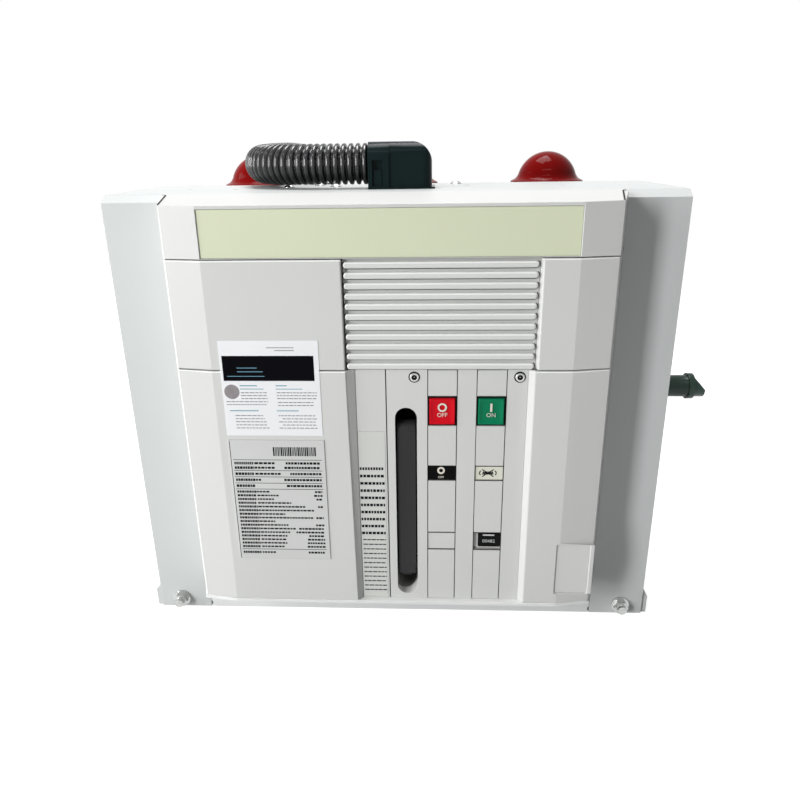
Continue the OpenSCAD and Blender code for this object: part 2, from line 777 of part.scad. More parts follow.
// The route never runs along this direction, so the rings turn smoothly from one to the next
aside = [1, 1, 1];
// A closed tube along the points p, as one polyhedron with a ring of flat sides at each point
module tube(p, d, sides) {
    n = len(p);
    rings = [for (i = [0 : n - 1])
        let (t = ring_dir(p, i), u = unit(cross(aside, t)), v = cross(t, u))
            for (k = [0 : sides - 1]) p[i] + d / 2 * (cos(360 * k / sides) * u + sin(360 * k / sides) * v)];
    skin = [for (i = [0 : n - 2], k = [0 : sides - 1])
        let (a = i * sides + k, b = i * sides + (k + 1) % sides) [a, a + sides, b + sides, b]];
    polyhedron(rings, concat([[for (k = [0 : sides - 1]) k]], skin,
        [[for (k = [sides - 1 : -1 : 0]) (n - 1) * sides + k]]));
}
module conduit() { color([0.06, 0.07, 0.07]) tube(route, hose_d, 12); }

// The control plug on the conduit's far end
module conduit_plug() {
    end = route[len(route) - 1];
    color([0.16, 0.17, 0.18]) translate([end.x, end.y, 0]) {
        translate([0, 0, end.z]) rotate([0, 90, 0]) cylinder(d = hose_d, h = gland_len + 1);
        block([gland_len, -plug_w / 2, 0], [gland_len + plug_len, plug_w / 2, plug_h]);
    }
}
gland_len = 18;
plug_len = 50;
plug_w = 48;
plug_h = 40;

// ---- poles and terminals ----

upper_z = terminal_z + terminal_gap;
shed_t = 5;
dome_r = dome_d / 2;
dome_sink = 1;                      // the dome's middle lies this far below the shoulder
flare_h = 2.2;                      // each of the two steps of the flared foot
module pole(i) {
    x = (i - 2) * pole_pitch;
    r = pole_d / 2;
    body_top = shoulder_z - 22;
    color(epoxy_red) translate([x, pole_axis_y, 0]) {
        translate([0, 0, pole_z]) cylinder(r = r, h = body_top - pole_z);
        translate([0, 0, body_top]) cylinder(r1 = r, r2 = rim_d / 2, h = shoulder_z - 3 - body_top);
        translate([0, 0, shoulder_z - 3]) cylinder(d = rim_d, h = 3);
        translate([0, 0, shoulder_z]) {
            cylinder(r1 = rim_d / 2 - 0.5, r2 = dome_r + 2, h = flare_h);
            translate([0, 0, flare_h]) cylinder(r1 = dome_r + 2, r2 = dome_r - 0.5, h = flare_h);
            translate([0, 0, -dome_sink]) intersection() {
                sphere(d = dome_d);
                translate([0, 0, dome_sink]) cylinder(d = dome_d + 1, h = dome_d);
            }
        }
        for (z = [terminal_z + 50 : 22 : upper_z - 40])
            translate([0, 0, z]) cylinder(d = shed_d, h = shed_t);
        for (z = [terminal_z, upper_z]) {
            translate([0, 0, z]) rotate([-90, 0, 0]) cylinder(d = boss_d, h = boss_reach);
            block([-arm_w / 2, -pole_y, z - arm_h / 2], [arm_w / 2, 0, z + arm_h / 2]);
            block([-arm_w / 2 - 12, -pole_y, z - arm_h / 2 - 6], [arm_w / 2 + 12, -pole_y + 8, z + arm_h / 2 + 6]);
        }
    }
}
boss_d = 66;
boss_reach = 58;
arm_w = 46;
arm_h = 36;
module pole_1() { pole(1); }
module pole_2() { pole(2); }
module pole_3() { pole(3); }

// A flat copper bar out of a pole's boss, with two bolt holes
module terminal(i, z) {
    x = (i - 2) * pole_pitch;
    color(copper) translate([x, pole_axis_y, z]) difference() {
        block([-bar_w / 2, boss_reach, -bar_t / 2], [bar_w / 2, bar_reach, bar_t / 2]);
        for (side = [-1, 1]) translate([side * bar_hole_gap / 2, bar_reach - bar_hole_set, -bar_t])
            cylinder(d = bar_hole_d, h = 2 * bar_t);
    }
}
bar_hole_set = 25;
module upper_terminal_1() { terminal(1, upper_z); }
module upper_terminal_2() { terminal(2, upper_z); }
module upper_terminal_3() { terminal(3, upper_z); }
module lower_terminal_1() { terminal(1, terminal_z); }
module lower_terminal_2() { terminal(2, terminal_z); }
module lower_terminal_3() { terminal(3, terminal_z); }

rail_left();
rail_right();
rear_cross_member();
base_plate();
housing_shell();
wing_left();
wing_right();
front_plate();
top_plate();
cover_top_band();
cover_middle_left();
cover_middle_right();
cover_lower_left();
cover_lower_right();
rib_grille();
control_panel();
panel_inserts();
pale_strip();
label_strip();
data_sticker();
rating_plate();
corner_blank_plate();
panel_screws();
lever_guide();
charging_lever();
button_housing();
open_button();
close_button();
state_indicator();
spring_indicator();
cycle_counter();
housing_screws();
side_pin();
conduit_elbow();
conduit();
conduit_plug();
pole_1();
pole_2();
pole_3();
upper_terminal_1();
upper_terminal_2();
upper_terminal_3();
lower_terminal_1();
lower_terminal_2();
lower_terminal_3();
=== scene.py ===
import math
import bmesh
import bpy
from mathutils import Matrix, Vector


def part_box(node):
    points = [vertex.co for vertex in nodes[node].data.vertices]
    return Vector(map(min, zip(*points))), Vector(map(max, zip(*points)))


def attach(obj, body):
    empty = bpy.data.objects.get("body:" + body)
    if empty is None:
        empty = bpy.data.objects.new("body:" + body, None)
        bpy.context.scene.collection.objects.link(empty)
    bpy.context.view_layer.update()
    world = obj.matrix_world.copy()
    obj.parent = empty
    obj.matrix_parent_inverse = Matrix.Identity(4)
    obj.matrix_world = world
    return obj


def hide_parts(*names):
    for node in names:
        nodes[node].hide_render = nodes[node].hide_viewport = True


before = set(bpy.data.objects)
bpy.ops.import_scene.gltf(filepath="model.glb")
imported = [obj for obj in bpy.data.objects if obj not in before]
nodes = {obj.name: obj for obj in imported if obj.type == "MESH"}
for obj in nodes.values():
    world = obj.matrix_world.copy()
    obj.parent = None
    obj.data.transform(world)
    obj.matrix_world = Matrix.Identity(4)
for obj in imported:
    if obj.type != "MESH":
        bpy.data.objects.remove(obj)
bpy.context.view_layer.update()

# ---- Camera ----
# A person's view of the breaker standing on a bench: from the front, a little above its
# top, turned slightly left and tilted down so that the controls and the top both show.
camera_place = Vector((0.03206, -0.60648, 0.40754))
camera_yaw = -0.05030
camera_pitch = math.radians(20.05)
camera_roll = -0.01486
camera_lens = 31.00
ahead = Vector((math.sin(camera_yaw) * math.cos(camera_pitch),
                math.cos(camera_yaw) * math.cos(camera_pitch), -math.sin(camera_pitch)))
level = Vector((math.cos(camera_yaw), -math.sin(camera_yaw), 0.0))
upward = level.cross(ahead)
right = math.cos(camera_roll) * level + math.sin(camera_roll) * upward
up = math.cos(camera_roll) * upward - math.sin(camera_roll) * level
camera_data = bpy.data.cameras.new("view_camera")
camera_data.sensor_width = 36.0
camera_data.lens = camera_lens
camera = bpy.data.objects.new("view_camera", camera_data)
turn = Matrix((right, up, -ahead)).transposed().to_4x4()
camera.matrix_world = Matrix.Translation(camera_place) @ turn
bpy.context.collection.objects.link(camera)
bpy.context.scene.camera = camera

# ---- Corrugated conduit ----
# The control wires run in a glossy black corrugated nylon conduit. It is blown in a
# rolling mould, so its crests are evenly spaced, and it pushes into the elbow's collar.
mm = 0.001


def finish(name, colour, worn, rough, grain, depth, metallic=0.0, specular=0.5,
           spread=0.12, stretch=(1, 1, 1), mix=0.5):
    """A material with a fine grain of that size and depth in metres, and broad uneven patches."""
    material = bpy.data.materials.new(name)
    material.use_nodes = True
    tree = material.node_tree
    shader = tree.nodes["Principled BSDF"]
    shader.inputs["Metallic"].default_value = metallic
    shader.inputs["Specular IOR Level"].default_value = specular
    place = tree.nodes.new("ShaderNodeTexCoord")
    stretched = tree.nodes.new("ShaderNodeMapping")
    stretched.inputs["Scale"].default_value = stretch
    tree.links.new(place.outputs["Object"], stretched.inputs["Vector"])
    fine = tree.nodes.new("ShaderNodeTexNoise")
    fine.inputs["Scale"].default_value = 1.0 / grain
    fine.inputs["Detail"].default_value = 3.0
    tree.links.new(stretched.outputs["Vector"], fine.inputs["Vector"])
    broad = tree.nodes.new("ShaderNodeTexNoise")
    broad.inputs["Scale"].default_value = 1.0 / spread
    broad.inputs["Detail"].default_value = 5.0
    tree.links.new(place.outputs["Object"], broad.inputs["Vector"])
    patches = tree.nodes.new("ShaderNodeMapRange")
    patches.inputs["From Min"].default_value = 0.38
    patches.inputs["From Max"].default_value = 0.72
    patches.inputs["To Max"].default_value = mix
    tree.links.new(broad.outputs["Fac"], patches.inputs["Value"])
    blend = tree.nodes.new("ShaderNodeMix")
    blend.data_type = "RGBA"
    blend.inputs["A"].default_value = (*colour, 1.0)
    blend.inputs["B"].default_value = (*worn, 1.0)
    tree.links.new(patches.outputs["Result"], blend.inputs["Factor"])
    tree.links.new(blend.outputs["Result"], shader.inputs["Base Color"])
    gloss = tree.nodes.new("ShaderNodeMapRange")
    gloss.inputs["From Min"].default_value = 0.3
    gloss.inputs["From Max"].default_value = 0.7
    gloss.inputs["To Min"].default_value = rough * 0.85
    gloss.inputs["To Max"].default_value = min(rough * 1.2, 1.0)
    tree.links.new(fine.outputs["Fac"], gloss.inputs["Value"])
    tree.links.new(gloss.outputs["Result"], shader.inputs["Roughness"])
    bump = tree.nodes.new("ShaderNodeBump")
    bump.inputs["Strength"].default_value = 0.6
    bump.inputs["Distance"].default_value = depth
    tree.links.new(fine.outputs["Fac"], bump.inputs["Height"])
    tree.links.new(bump.outputs["Normal"], shader.inputs["Normal"])
    return material


def make_piece(name, shape, material, body="housing", smooth=False):
    """Turns a bmesh into a named piece that rides on a body."""
    mesh = bpy.data.meshes.new(name)
    bmesh.ops.recalc_face_normals(shape, faces=shape.faces)
    shape.to_mesh(mesh)
    shape.free()
    mesh.materials.append(material)
    for face in mesh.polygons:
        face.use_smooth = smooth
    piece = bpy.data.objects.new(name, mesh)
    bpy.context.collection.objects.link(piece)
    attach(piece, body)
    return piece


def round_box(low, high, radius=0.0, segments=2, shape=None):
    """Adds a box with rounded edges, from its lowest and highest corners, in metres."""
    shape = shape or bmesh.new()
    low, high = Vector(low), Vector(high)
    made = bmesh.ops.create_cube(shape, size=1.0)
    for corner in made["verts"]:
        corner.co = Vector(low[k] + (corner.co[k] + 0.5) * (high[k] - low[k]) for k in range(3))
    if radius > 0:
        edges = {edge for corner in made["verts"] for edge in corner.link_edges}
        bmesh.ops.bevel(shape, geom=list(edges), offset=radius, segments=segments,
                        profile=0.5, affect="EDGES")
    return shape


def turned(profile, centre, axis, sides=48, shape=None):
    """Adds a turned solid: profile is (distance along the axis, radius) from centre."""
    shape = shape or bmesh.new()
    axis = Vector(axis).normalized()
    first = axis.orthogonal().normalized()
    second = axis.cross(first)
    rings = []
    for along, radius in profile:
        ring = []
        for k in range(sides):
            angle = math.tau * k / sides
            side = first * math.cos(angle) + second * math.sin(angle)
            ring.append(shape.verts.new(Vector(centre) + axis * along + side * max(radius, 1e-6)))
        rings.append(ring)
    for a, b in zip(rings, rings[1:]):
        for k in range(sides):
            shape.faces.new((a[k], a[(k + 1) % sides], b[(k + 1) % sides], b[k]))
    shape.faces.new(rings[0][::-1])
    shape.faces.new(rings[-1])
    return shape


hose_d = 33.0 * mm
hose_pitch = 5.8 * mm
hose_sides = 32
hose_depth = 3.1 * mm
# share of one pitch, and how much of the depth the wall is drawn in there
hose_wave = ((0.0, 1.0), (0.13, 1.0), (0.22, 0.55), (0.32, 0.12), (0.45, 0.0), (0.6, 0.0),
             (0.8, 0.12), (0.91, 0.55))
# the route of the conduit's solid, in millimetres, from the elbow to the plug
route = [(-21, 0, 396), (-38, 0, 396), (-62, 1.5, 396), (-86, 7, 396), (-108, 22, 396), (-121, 46, 396),
         (-124, 75, 397), (-119, 105, 398), (-109, 134, 398), (-100, 161, 395), (-94, 187, 385),
         (-90, 210, 364), (-88, 225, 337), (-88, 233, 305), (-88, 237, 269), (-88, 240, 228),
         (-88, 241, 185), (-86, 242, 146), (-80, 243, 109), (-68, 244, 76), (-49, 245, 47),
         (-22, 246, 26), (8, 246, 18), (40, 246, 17), (75, 246, 17), (110, 246, 17)]
route = [Vector(point) * mm for point in route]


def smooth_route(points, steps=24):
    """Points close together on a smooth curve through the route."""
    line = []
    for i in range(len(points) - 1):
        before = points[max(i - 1, 0)]
        after = points[min(i + 2, len(points) - 1)]
        a, b = points[i], points[i + 1]
        for k in range(steps):
            t = k / steps
            line.append(0.5 * (2 * a + (b - before) * t + (2 * before - 5 * a + 4 * b - after) * t * t
                               + (3 * a - before - 3 * b + after) * t ** 3))
    line.append(points[-1])
    return line


fine_route = smooth_route(route)
reach = [0.0]
for here, there in zip(fine_route, fine_route[1:]):
    reach.append(reach[-1] + (there - here).length)


def on_route(distance):
    """The point of the route at that distance from the elbow."""
    for i in range(len(reach) - 1):
        if reach[i + 1] >= distance:
            share = (distance - reach[i]) / (reach[i + 1] - reach[i])
            return fine_route[i].lerp(fine_route[i + 1], share)
    return fine_route[-1]


crests = int(reach[-1] / hose_pitch)
ring_places = [((n + share) * hose_pitch, drawn) for n in range(crests) for share, drawn in hose_wave]
ring_places.append((reach[-1], 1.0))
hose_path = [on_route(distance) for distance, drawn in ring_places]
hose_shape = bmesh.new()
hose_rings = []
outward = Vector((0, 0, 1))
for i, (distance, drawn) in enumerate(ring_places):
    run = (hose_path[min(i + 1, len(hose_path) - 1)] - hose_path[max(i - 1, 0)]).normalized()
    outward = (outward - run * outward.dot(run)).normalized()
    across = run.cross(outward)
    radius = hose_d / 2 - hose_depth * drawn
    hose_rings.append([hose_shape.verts.new(
        hose_path[i] + radius * (math.cos(math.tau * k / hose_sides) * outward
                                 + math.sin(math.tau * k / hose_sides) * across))
        for k in range(hose_sides)])
for a, b in zip(hose_rings, hose_rings[1:]):
    for k in range(hose_sides):
        hose_shape.faces.new((a[k], a[(k + 1) % hose_sides], b[(k + 1) % hose_sides], b[k]))
hose_shape.faces.new(hose_rings[0][::-1])
hose_shape.faces.new(hose_rings[-1])
black_nylon = finish("black_nylon", (0.006, 0.006, 0.007), (0.012, 0.012, 0.013), 0.13,
                     0.9 * mm, 0.03 * mm, specular=0.60)
conduit = make_piece("corrugated_conduit", hose_shape, black_nylon, smooth=True)
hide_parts("conduit")

# ---- Control plug ----
# The conduit ends in the moulded control plug that mates with the cubicle's socket. Its
# body is held by a gland nut, and a wider flange with two steel latches faces the socket.
plug_low, plug_high = (Vector(corner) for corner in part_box("conduit_plug"))
plug_start = route[-1].x + 18 * mm
flange_start = plug_high.x - 9 * mm
plug_waist = 3 * mm
nut_r = 16.4 * mm
nut_groove_r = 15.0 * mm
plug_black = finish("plug_black", (0.030, 0.031, 0.033), (0.055, 0.056, 0.058), 0.48,
                    0.7 * mm, 0.05 * mm)
latch_steel = finish("latch_steel", (0.55, 0.56, 0.56), (0.40, 0.41, 0.41), 0.32,
                     0.5 * mm, 0.02 * mm, metallic=1.0)
plug_shape = round_box((plug_start, plug_low.y + plug_waist, plug_low.z),
                       (flange_start + 1 * mm, plug_high.y - plug_waist, plug_high.z - 2 * mm), 3 * mm, 3)
round_box((flange_start, plug_low.y, plug_low.z), (plug_high.x, plug_high.y, plug_high.z),
          1.2 * mm, 2, plug_shape)
turned(((0, 15.2 * mm), (1.2 * mm, nut_r), (8 * mm, nut_r), (9 * mm, nut_groove_r),
        (11 * mm, nut_groove_r), (12 * mm, nut_r), (18.5 * mm, nut_r)),
       route[-1], (1, 0, 0), 12, plug_shape)
plug = make_piece("control_plug", plug_shape, plug_black)
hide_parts("conduit_plug")
latch_shape = bmesh.new()
for side in (-1, 1):
    middle = (plug_low.y + plug_high.y) / 2 + side * (plug_high.y - plug_low.y) * 0.46
    round_box((plug_start + 12 * mm, middle - 1 * mm, 12 * mm),
              (flange_start + 2 * mm, middle + 1 * mm, 24 * mm), 0.5 * mm, 2, latch_shape)
plug_latches = make_piece("plug_latches", latch_shape, latch_steel)

# ---- Floor and light ----
# A plain pale bench top under soft daylight: a lamp and a window on the left, so that the
# cover throws a soft shadow on the right wing, a soft lamp above the rear, and a thin strip
# in front that draws a bright line along the conduit.
floor_half = 2.0
floor_glow = 0.88
room_light = 0.04
floor_shape = bmesh.new()
bmesh.ops.create_grid(floor_shape, x_segments=2, y_segments=2, size=floor_half)
floor_mesh = bpy.data.meshes.new("bench_top")
floor_shape.to_mesh(floor_mesh)
floor_shape.free()
bench = bpy.data.objects.new("bench_top", floor_mesh)
bench.location.z = -0.0005
bpy.context.collection.objects.link(bench)
bench_white = bpy.data.materials.new("bench_white")
bench_white.use_nodes = True
tree = bench_white.node_tree
bench_shader = tree.nodes["Principled BSDF"]
bench_shader.inputs["Base Color"].default_value = (0.50, 0.50, 0.50, 1)
bench_shader.inputs["Roughness"].default_value = 0.9
bench_shader.inputs["Specular IOR Level"].default_value = 0.0
pale = tree.nodes.new("ShaderNodeEmission")
pale.inputs["Color"].default_value = (1, 1, 1, 1)
seen = tree.nodes.new("ShaderNodeLightPath")
share = tree.nodes.new("ShaderNodeMath")
share.operation = "MULTIPLY"
share.inputs[1].default_value = floor_glow
added = tree.nodes.new("ShaderNodeAddShader")
both = tree.nodes.new("ShaderNodeMath")
both.operation = "MAXIMUM"
tree.links.new(seen.outputs["Is Camera Ray"], both.inputs[0])
tree.links.new(seen.outputs["Is Glossy Ray"], both.inputs[1])
tree.links.new(both.outputs["Value"], share.inputs[0])
tree.links.new(share.outputs["Value"], pale.inputs["Strength"])
tree.links.new(bench_shader.outputs["BSDF"], added.inputs[0])
tree.links.new(pale.outputs["Emission"], added.inputs[1])
tree.links.new(added.outputs["Shader"], tree.nodes["Material Output"].inputs["Surface"])
floor_mesh.materials.append(bench_white)

daylight = bpy.data.worlds.new("daylight")
bpy.context.scene.world = daylight
daylight.use_nodes = True
tree = daylight.node_tree
sky = tree.nodes["Background"]
sky.inputs["Color"].default_value = (0.98, 0.99, 1.0, 1)
sky.inputs["Strength"].default_value = room_light
clear = tree.nodes.new("ShaderNodeBackground")
clear.inputs["Color"].default_value = (1, 1, 1, 1)
clear.inputs["Strength"].default_value = 1.0
ray = tree.nodes.new("ShaderNodeLightPath")
either = tree.nodes.new("ShaderNodeMath")
either.operation = "MAXIMUM"
choose = tree.nodes.new("ShaderNodeMixShader")
tree.links.new(ray.outputs["Is Camera Ray"], either.inputs[0])
tree.links.new(ray.outputs["Is Glossy Ray"], either.inputs[1])
tree.links.new(either.outputs["Value"], choose.inputs["Fac"])
tree.links.new(sky.outputs["Background"], choose.inputs[1])
tree.links.new(clear.outputs["Background"], choose.inputs[2])
tree.links.new(choose.outputs["Shader"], tree.nodes["World Output"].inputs["Surface"])


def soft_lamp(name, place, target, width, height, power):
    """A soft lamp of that width and height that faces a target."""
    data = bpy.data.lights.new(name, "AREA")
    data.shape = "RECTANGLE"
    data.size = width
    data.size_y = height
    data.energy = power
    lamp = bpy.data.objects.new(name, data)
    lamp.location = place
    lamp.rotation_euler = (Vector(target) - Vector(place)).to_track_quat("-Z", "Y").to_euler()
    bpy.context.collection.objects.link(lamp)


front_middle = (0, -0.05, 0.22)
soft_lamp("front_left_lamp", (-2.25, -2.463, 1.043), front_middle, 0.55, 1.9, 83)
soft_lamp("left_window", (-2.488, -0.579, 0.761), front_middle, 2.1, 2.1, 57)
soft_lamp("rear_overhead_lamp", (-0.10, 0.40, 2.0), (0, 0.05, 0.37), 0.95, 0.95, 33)
soft_lamp("front_strip_lamp", (-0.15, -1.35, 2.2), (-0.02, 0.08, 0.39), 1.3, 0.10, 4.2)
bpy.context.scene.view_settings.view_transform = "Standard"

# ---- Base rails and steel housing ----
# Rails, base, side walls, back and top are folded from 2 mm steel sheet and sprayed with a
# fine light grey enamel. The left and right wings are bolted to the rails' front ends. The
# front plate, which shows as a narrow strip under the cover, has a paler enamel as painted light.
enamel = finish("light_grey_enamel", (0.570, 0.592, 0.588), (0.535, 0.558, 0.552), 0.42,
                1.1 * mm, 0.02 * mm, spread=0.16, mix=0.5)
# paler enamel for the front plate: painted light on its strip under the cover
lip_painted_light_enamel = finish("lip_painted_light_enamel", (0.76, 0.775, 0.77), (0.71, 0.73, 0.725), 0.4, 1.1 * mm, 0.02 * mm)
fold_r = 0.5 * mm


def dress(names, material, width, segments=2, merge=True):
    """Gives CAD pieces their finish, and eases their edges as paint or a mould leaves them."""
    for name in names:
        piece = nodes[name]
        piece.data.materials.clear()
        piece.data.materials.append(material)
        joined = piece.modifiers.new("joined", "WELD")
        joined.merge_threshold = 0.01 * mm
        if merge:
            plain = piece.modifiers.new("plain_faces", "DECIMATE")
            plain.decimate_type = "DISSOLVE"
            plain.angle_limit = math.radians(0.5)
        eased = piece.modifiers.new("eased_edges", "BEVEL")
        eased.width = width
        eased.segments = segments
        eased.limit_method = "ANGLE"
        eased.angle_limit = math.radians(32)


dress(("rail_left", "rail_right", "rear_cross_member", "base_plate", "housing_shell",
       "wing_left", "wing_right", "top_plate"), enamel, fold_r)
# the front plate's paler enamel is painted light
dress(("front_plate",), lip_painted_light_enamel, fold_r)

# ---- Moulded cover ----
# The front cover is moulded in a fine-grained light grey plastic in several parts that
# clip together, so thin dark joints run between the band, the middle and the lower parts.
# Pale strips along its edges, under its joints and on the lip below it are painted
# highlights, and black strips in the joints at the band's two top ends are painted shade.
cover_plastic = finish("cover_plastic", (0.63, 0.635, 0.62), (0.585, 0.59, 0.575), 0.46,
                       0.6 * mm, 0.03 * mm, spread=0.2, mix=0.45)
strip_film = finish("pale_strip_film", (0.66, 0.70, 0.51), (0.63, 0.67, 0.48), 0.5, 0.5 * mm, 0.01 * mm)
# pale plastic for painted highlights along edges and joints
painted_highlight_plastic = finish("painted_highlight_plastic", (0.95, 0.96, 0.94), (0.91, 0.92, 0.90), 0.4, 0.6 * mm, 0.02 * mm)
# near-black for the painted shade in the top joints
joint_shade_black = finish("joint_shade_black", (0.010, 0.010, 0.010), (0.022, 0.022, 0.021), 0.7,
                     0.6 * mm, 0.02 * mm, specular=0.1)
cover_edge_r = 0.9 * mm
dress(("cover_middle_left", "cover_middle_right", "cover_lower_left"), cover_plastic, cover_edge_r, 3)
dress(("cover_top_band", "cover_lower_right"), cover_plastic, cover_edge_r, 3, merge=False)
dress(("corner_blank_plate",), cover_plastic, 0.3 * mm)
dress(("pale_strip",), strip_film, 0.2 * mm)

# places on the cover's outer face, in millimetres
face_y = -110.0
bend_x = 137.0
corner_x, corner_y = 165.0, -105.0
grille_left_x, grille_right_x = -34.5, 109.5
joint_heights = (248.0, 332.0)
# the height of a painted highlight strip under a joint
highlight_strip_h = 0.9
cover_left = ((-corner_x, corner_y), (-bend_x, face_y), (grille_left_x, face_y))
cover_right = ((grille_right_x, face_y), (bend_x, face_y), (corner_x, corner_y))
side_edge = ((-165.3, -104.9), (-164.5, -105.2))
lip_line = ((-164.4, -104.9), (-136.8, -109.8), (136.8, -109.8), (164.4, -104.9))
edge_shape = bmesh.new()


def edge_strip(line, low, high, out, back):
    """Adds a strip along points in X and Y, from out in front of them to back behind them."""
    for (x0, y0), (x1, y1) in zip(line, line[1:]):
        outer = Vector((y1 - y0, x0 - x1, 0)).normalized()
        corners = []
        for x, y in ((x0, y0), (x1, y1)):
            for shift in (out, -back):
                place = (Vector((x, y, 0)) + outer * shift) * mm
                corners += [edge_shape.verts.new((place.x, place.y, z * mm)) for z in (low, high)]
        for quad in ((0, 1, 5, 4), (2, 3, 7, 6), (0, 2, 6, 4), (1, 3, 7, 5), (0, 1, 3, 2), (4, 5, 7, 6)):
            edge_shape.faces.new([corners[k] for k in quad])


# painted highlights: pale strips under the joints, along the left outer edge and on the lip below the cover
for line in (cover_left, cover_right):
    for joint_z in joint_heights:
        edge_strip(line, joint_z, joint_z + highlight_strip_h, 0.04, 0.4)
edge_strip(side_edge, 42.2, 371.0, 0.05, 0.5)
edge_strip(lip_line, 39.5, 41.9, 0.0, 5.0)
make_piece("cover_edge_highlights", edge_shape, painted_highlight_plastic)

# the ends of a painted shade strip in a top joint and its section round them, in millimetres
shade_strip_ends = ((164.7, -104.6, 371.9), (174.0, -62.0, 375.95))
shade_strip_section = ((-0.6, -0.6), (0.6, -0.6), (0.6, 0.35), (-0.6, 0.35))
shade_strip_pair = bmesh.new()
for side in (-1, 1):
    ends = [[shade_strip_pair.verts.new((side * (x + dx) * mm, y * mm, (z + dz) * mm)) for dx, dz in shade_strip_section]
            for x, y, z in shade_strip_ends]
    for k in range(4):
        n = (k + 1) % 4
        shade_strip_pair.faces.new((ends[0][k], ends[0][n], ends[1][n], ends[1][k]))
    shade_strip_pair.faces.new(ends[0][::-1])
    shade_strip_pair.faces.new(ends[1])
make_piece("top_joint_shades", shade_strip_pair, joint_shade_black)

# ---- Rib grille ----
# Eleven flat ribs with rounded ends stand out of a shallow recess above the panel. They
# are moulded in one with their back plate. The ribs are painted lighter and the recess darker
# than the cover, as painted light and shade; their upper edges and left ends carry painted
# highlights, and a dark band under them and round their ends is painted shadow.
grille_low, grille_high = (Vector(corner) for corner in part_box("rib_grille"))
rib_count = 11
rib_h = 4.8 * mm
rib_out = 3.3 * mm
rib_edge = 1.15 * mm
rib_back = -105 * mm
rib_front = rib_back - rib_out
rib_top_gap = 2.0 * mm
rib_left = grille_low.x + 0.4 * mm
rib_right = grille_high.x - 0.4 * mm
rib_pitch = (grille_high.z - grille_low.z - rib_h - rib_top_gap) / (rib_count - 1)
# a dark band on the recess under and round each rib is painted shadow
shadow_band_w = 0.85 * mm
shadow_band_front, shadow_band_back = rib_back - 0.08 * mm, rib_back + 0.02 * mm
# the ribs are a lighter plastic than the cover as painted light, the recess a darker one as painted shade
rib_painted_light_plastic = finish("rib_painted_light_plastic", (0.69, 0.70, 0.68), (0.66, 0.67, 0.65), 0.45, 0.6 * mm, 0.03 * mm)
valley_painted_shade_plastic = finish("valley_painted_shade_plastic", (0.57, 0.575, 0.56), (0.53, 0.535, 0.52), 0.5,
                        0.6 * mm, 0.03 * mm)
shadow_band_grey = finish("shadow_band_grey", (0.035, 0.035, 0.032), (0.07, 0.07, 0.065), 0.8,
                   0.5 * mm, 0.02 * mm, specular=0.1)


def rib_line(low, grow, steps=8):
    """Points round a rib with rounded ends, in X and Z, counted from its upper right end."""
    radius = rib_h / 2 + grow
    line = []
    for centre, start in ((rib_right - rib_h / 2, math.pi / 2), (rib_left + rib_h / 2, -math.pi / 2)):
        for k in range(steps + 1):
            angle = start - math.pi * k / steps
            line.append((centre + radius * math.cos(angle), low + rib_h / 2 + radius * math.sin(angle)))
    return line


rib_shape = bmesh.new()
highlight_faces = []
shadow_band_shape = bmesh.new()
for i in range(rib_count):
    low = grille_low.z + i * rib_pitch
    rings = []
    for grow, y in ((0, rib_back + 0.1 * mm), (0, rib_front + rib_edge),
                    (-0.35 * rib_edge, rib_front + 0.3 * rib_edge), (-rib_edge, rib_front)):
        rings.append([rib_shape.verts.new((x, y, z)) for x, z in rib_line(low, grow)])
    count = len(rings[0])
    for a, b in zip(rings, rings[1:]):
        for k in range(count):
            n = (k + 1) % count
            face = rib_shape.faces.new((a[k], a[n], b[n], b[k]))
            # the chamfer faces along the upper edges and left ends get the painted highlight
            upper = (a[k].co.z + a[n].co.z) / 2 > low + rib_h * 0.75
            left_end = (a[k].co.x + a[n].co.x) / 2 < grille_low.x + rib_h * 0.4
            if b is not rings[1] and (upper or left_end):
                highlight_faces.append(face)
    rib_shape.faces.new(rings[-1])
    rib_shape.faces.new(rings[0][::-1])
    # the painted shadow band round each rib, left out along its top
    near = rib_line(low, -0.1 * mm)
    far = rib_line(low, shadow_band_w)
    for k in range(len(near)):
        n = (k + 1) % len(near)
        if (near[k][1] + near[n][1]) / 2 > low + rib_h * 0.8:
            continue
        ends = [near[k], near[n], far[n], far[k]]
        front_side = [shadow_band_shape.verts.new((x, shadow_band_front, z)) for x, z in ends]
        back_side = [shadow_band_shape.verts.new((x, shadow_band_back, z)) for x, z in ends]
        shadow_band_shape.faces.new(front_side)
        shadow_band_shape.faces.new(back_side[::-1])
        for j in range(4):
            m = (j + 1) % 4
            shadow_band_shape.faces.new((front_side[j], back_side[j], back_side[m], front_side[m]))
for face in highlight_faces:
    face.material_index = 1
rib_pieces = make_piece("grille_ribs", rib_shape, rib_painted_light_plastic)
# the second material is the painted highlight
rib_pieces.data.materials.append(painted_highlight_plastic)
make_piece("grille_shadow_band", shadow_band_shape, shadow_band_grey)
plate_shape = round_box((grille_low.x, rib_back, grille_low.z),
                        (grille_high.x + 0.5 * mm, rib_back + 3 * mm, grille_high.z))
make_piece("grille_plate", plate_shape, valley_painted_shade_plastic)
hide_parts("rib_grille")

# ---- Control panel ----
# The panel lies 5 mm deep between slanted sides. Flat inserts fill its two columns between
# the controls, and a grey film label with plain printing lies along its left edge.
label_film = finish("label_film", (0.63, 0.64, 0.61), (0.60, 0.61, 0.58), 0.42, 0.5 * mm, 0.005 * mm)
print_black = finish("print_black", (0.006, 0.006, 0.007), (0.016, 0.016, 0.018), 0.6,
                     0.3 * mm, 0.004 * mm, specular=0.05)
print_grey = finish("print_grey", (0.10, 0.105, 0.11), (0.18, 0.185, 0.19), 0.5,
                    0.3 * mm, 0.004 * mm, specular=0.05)
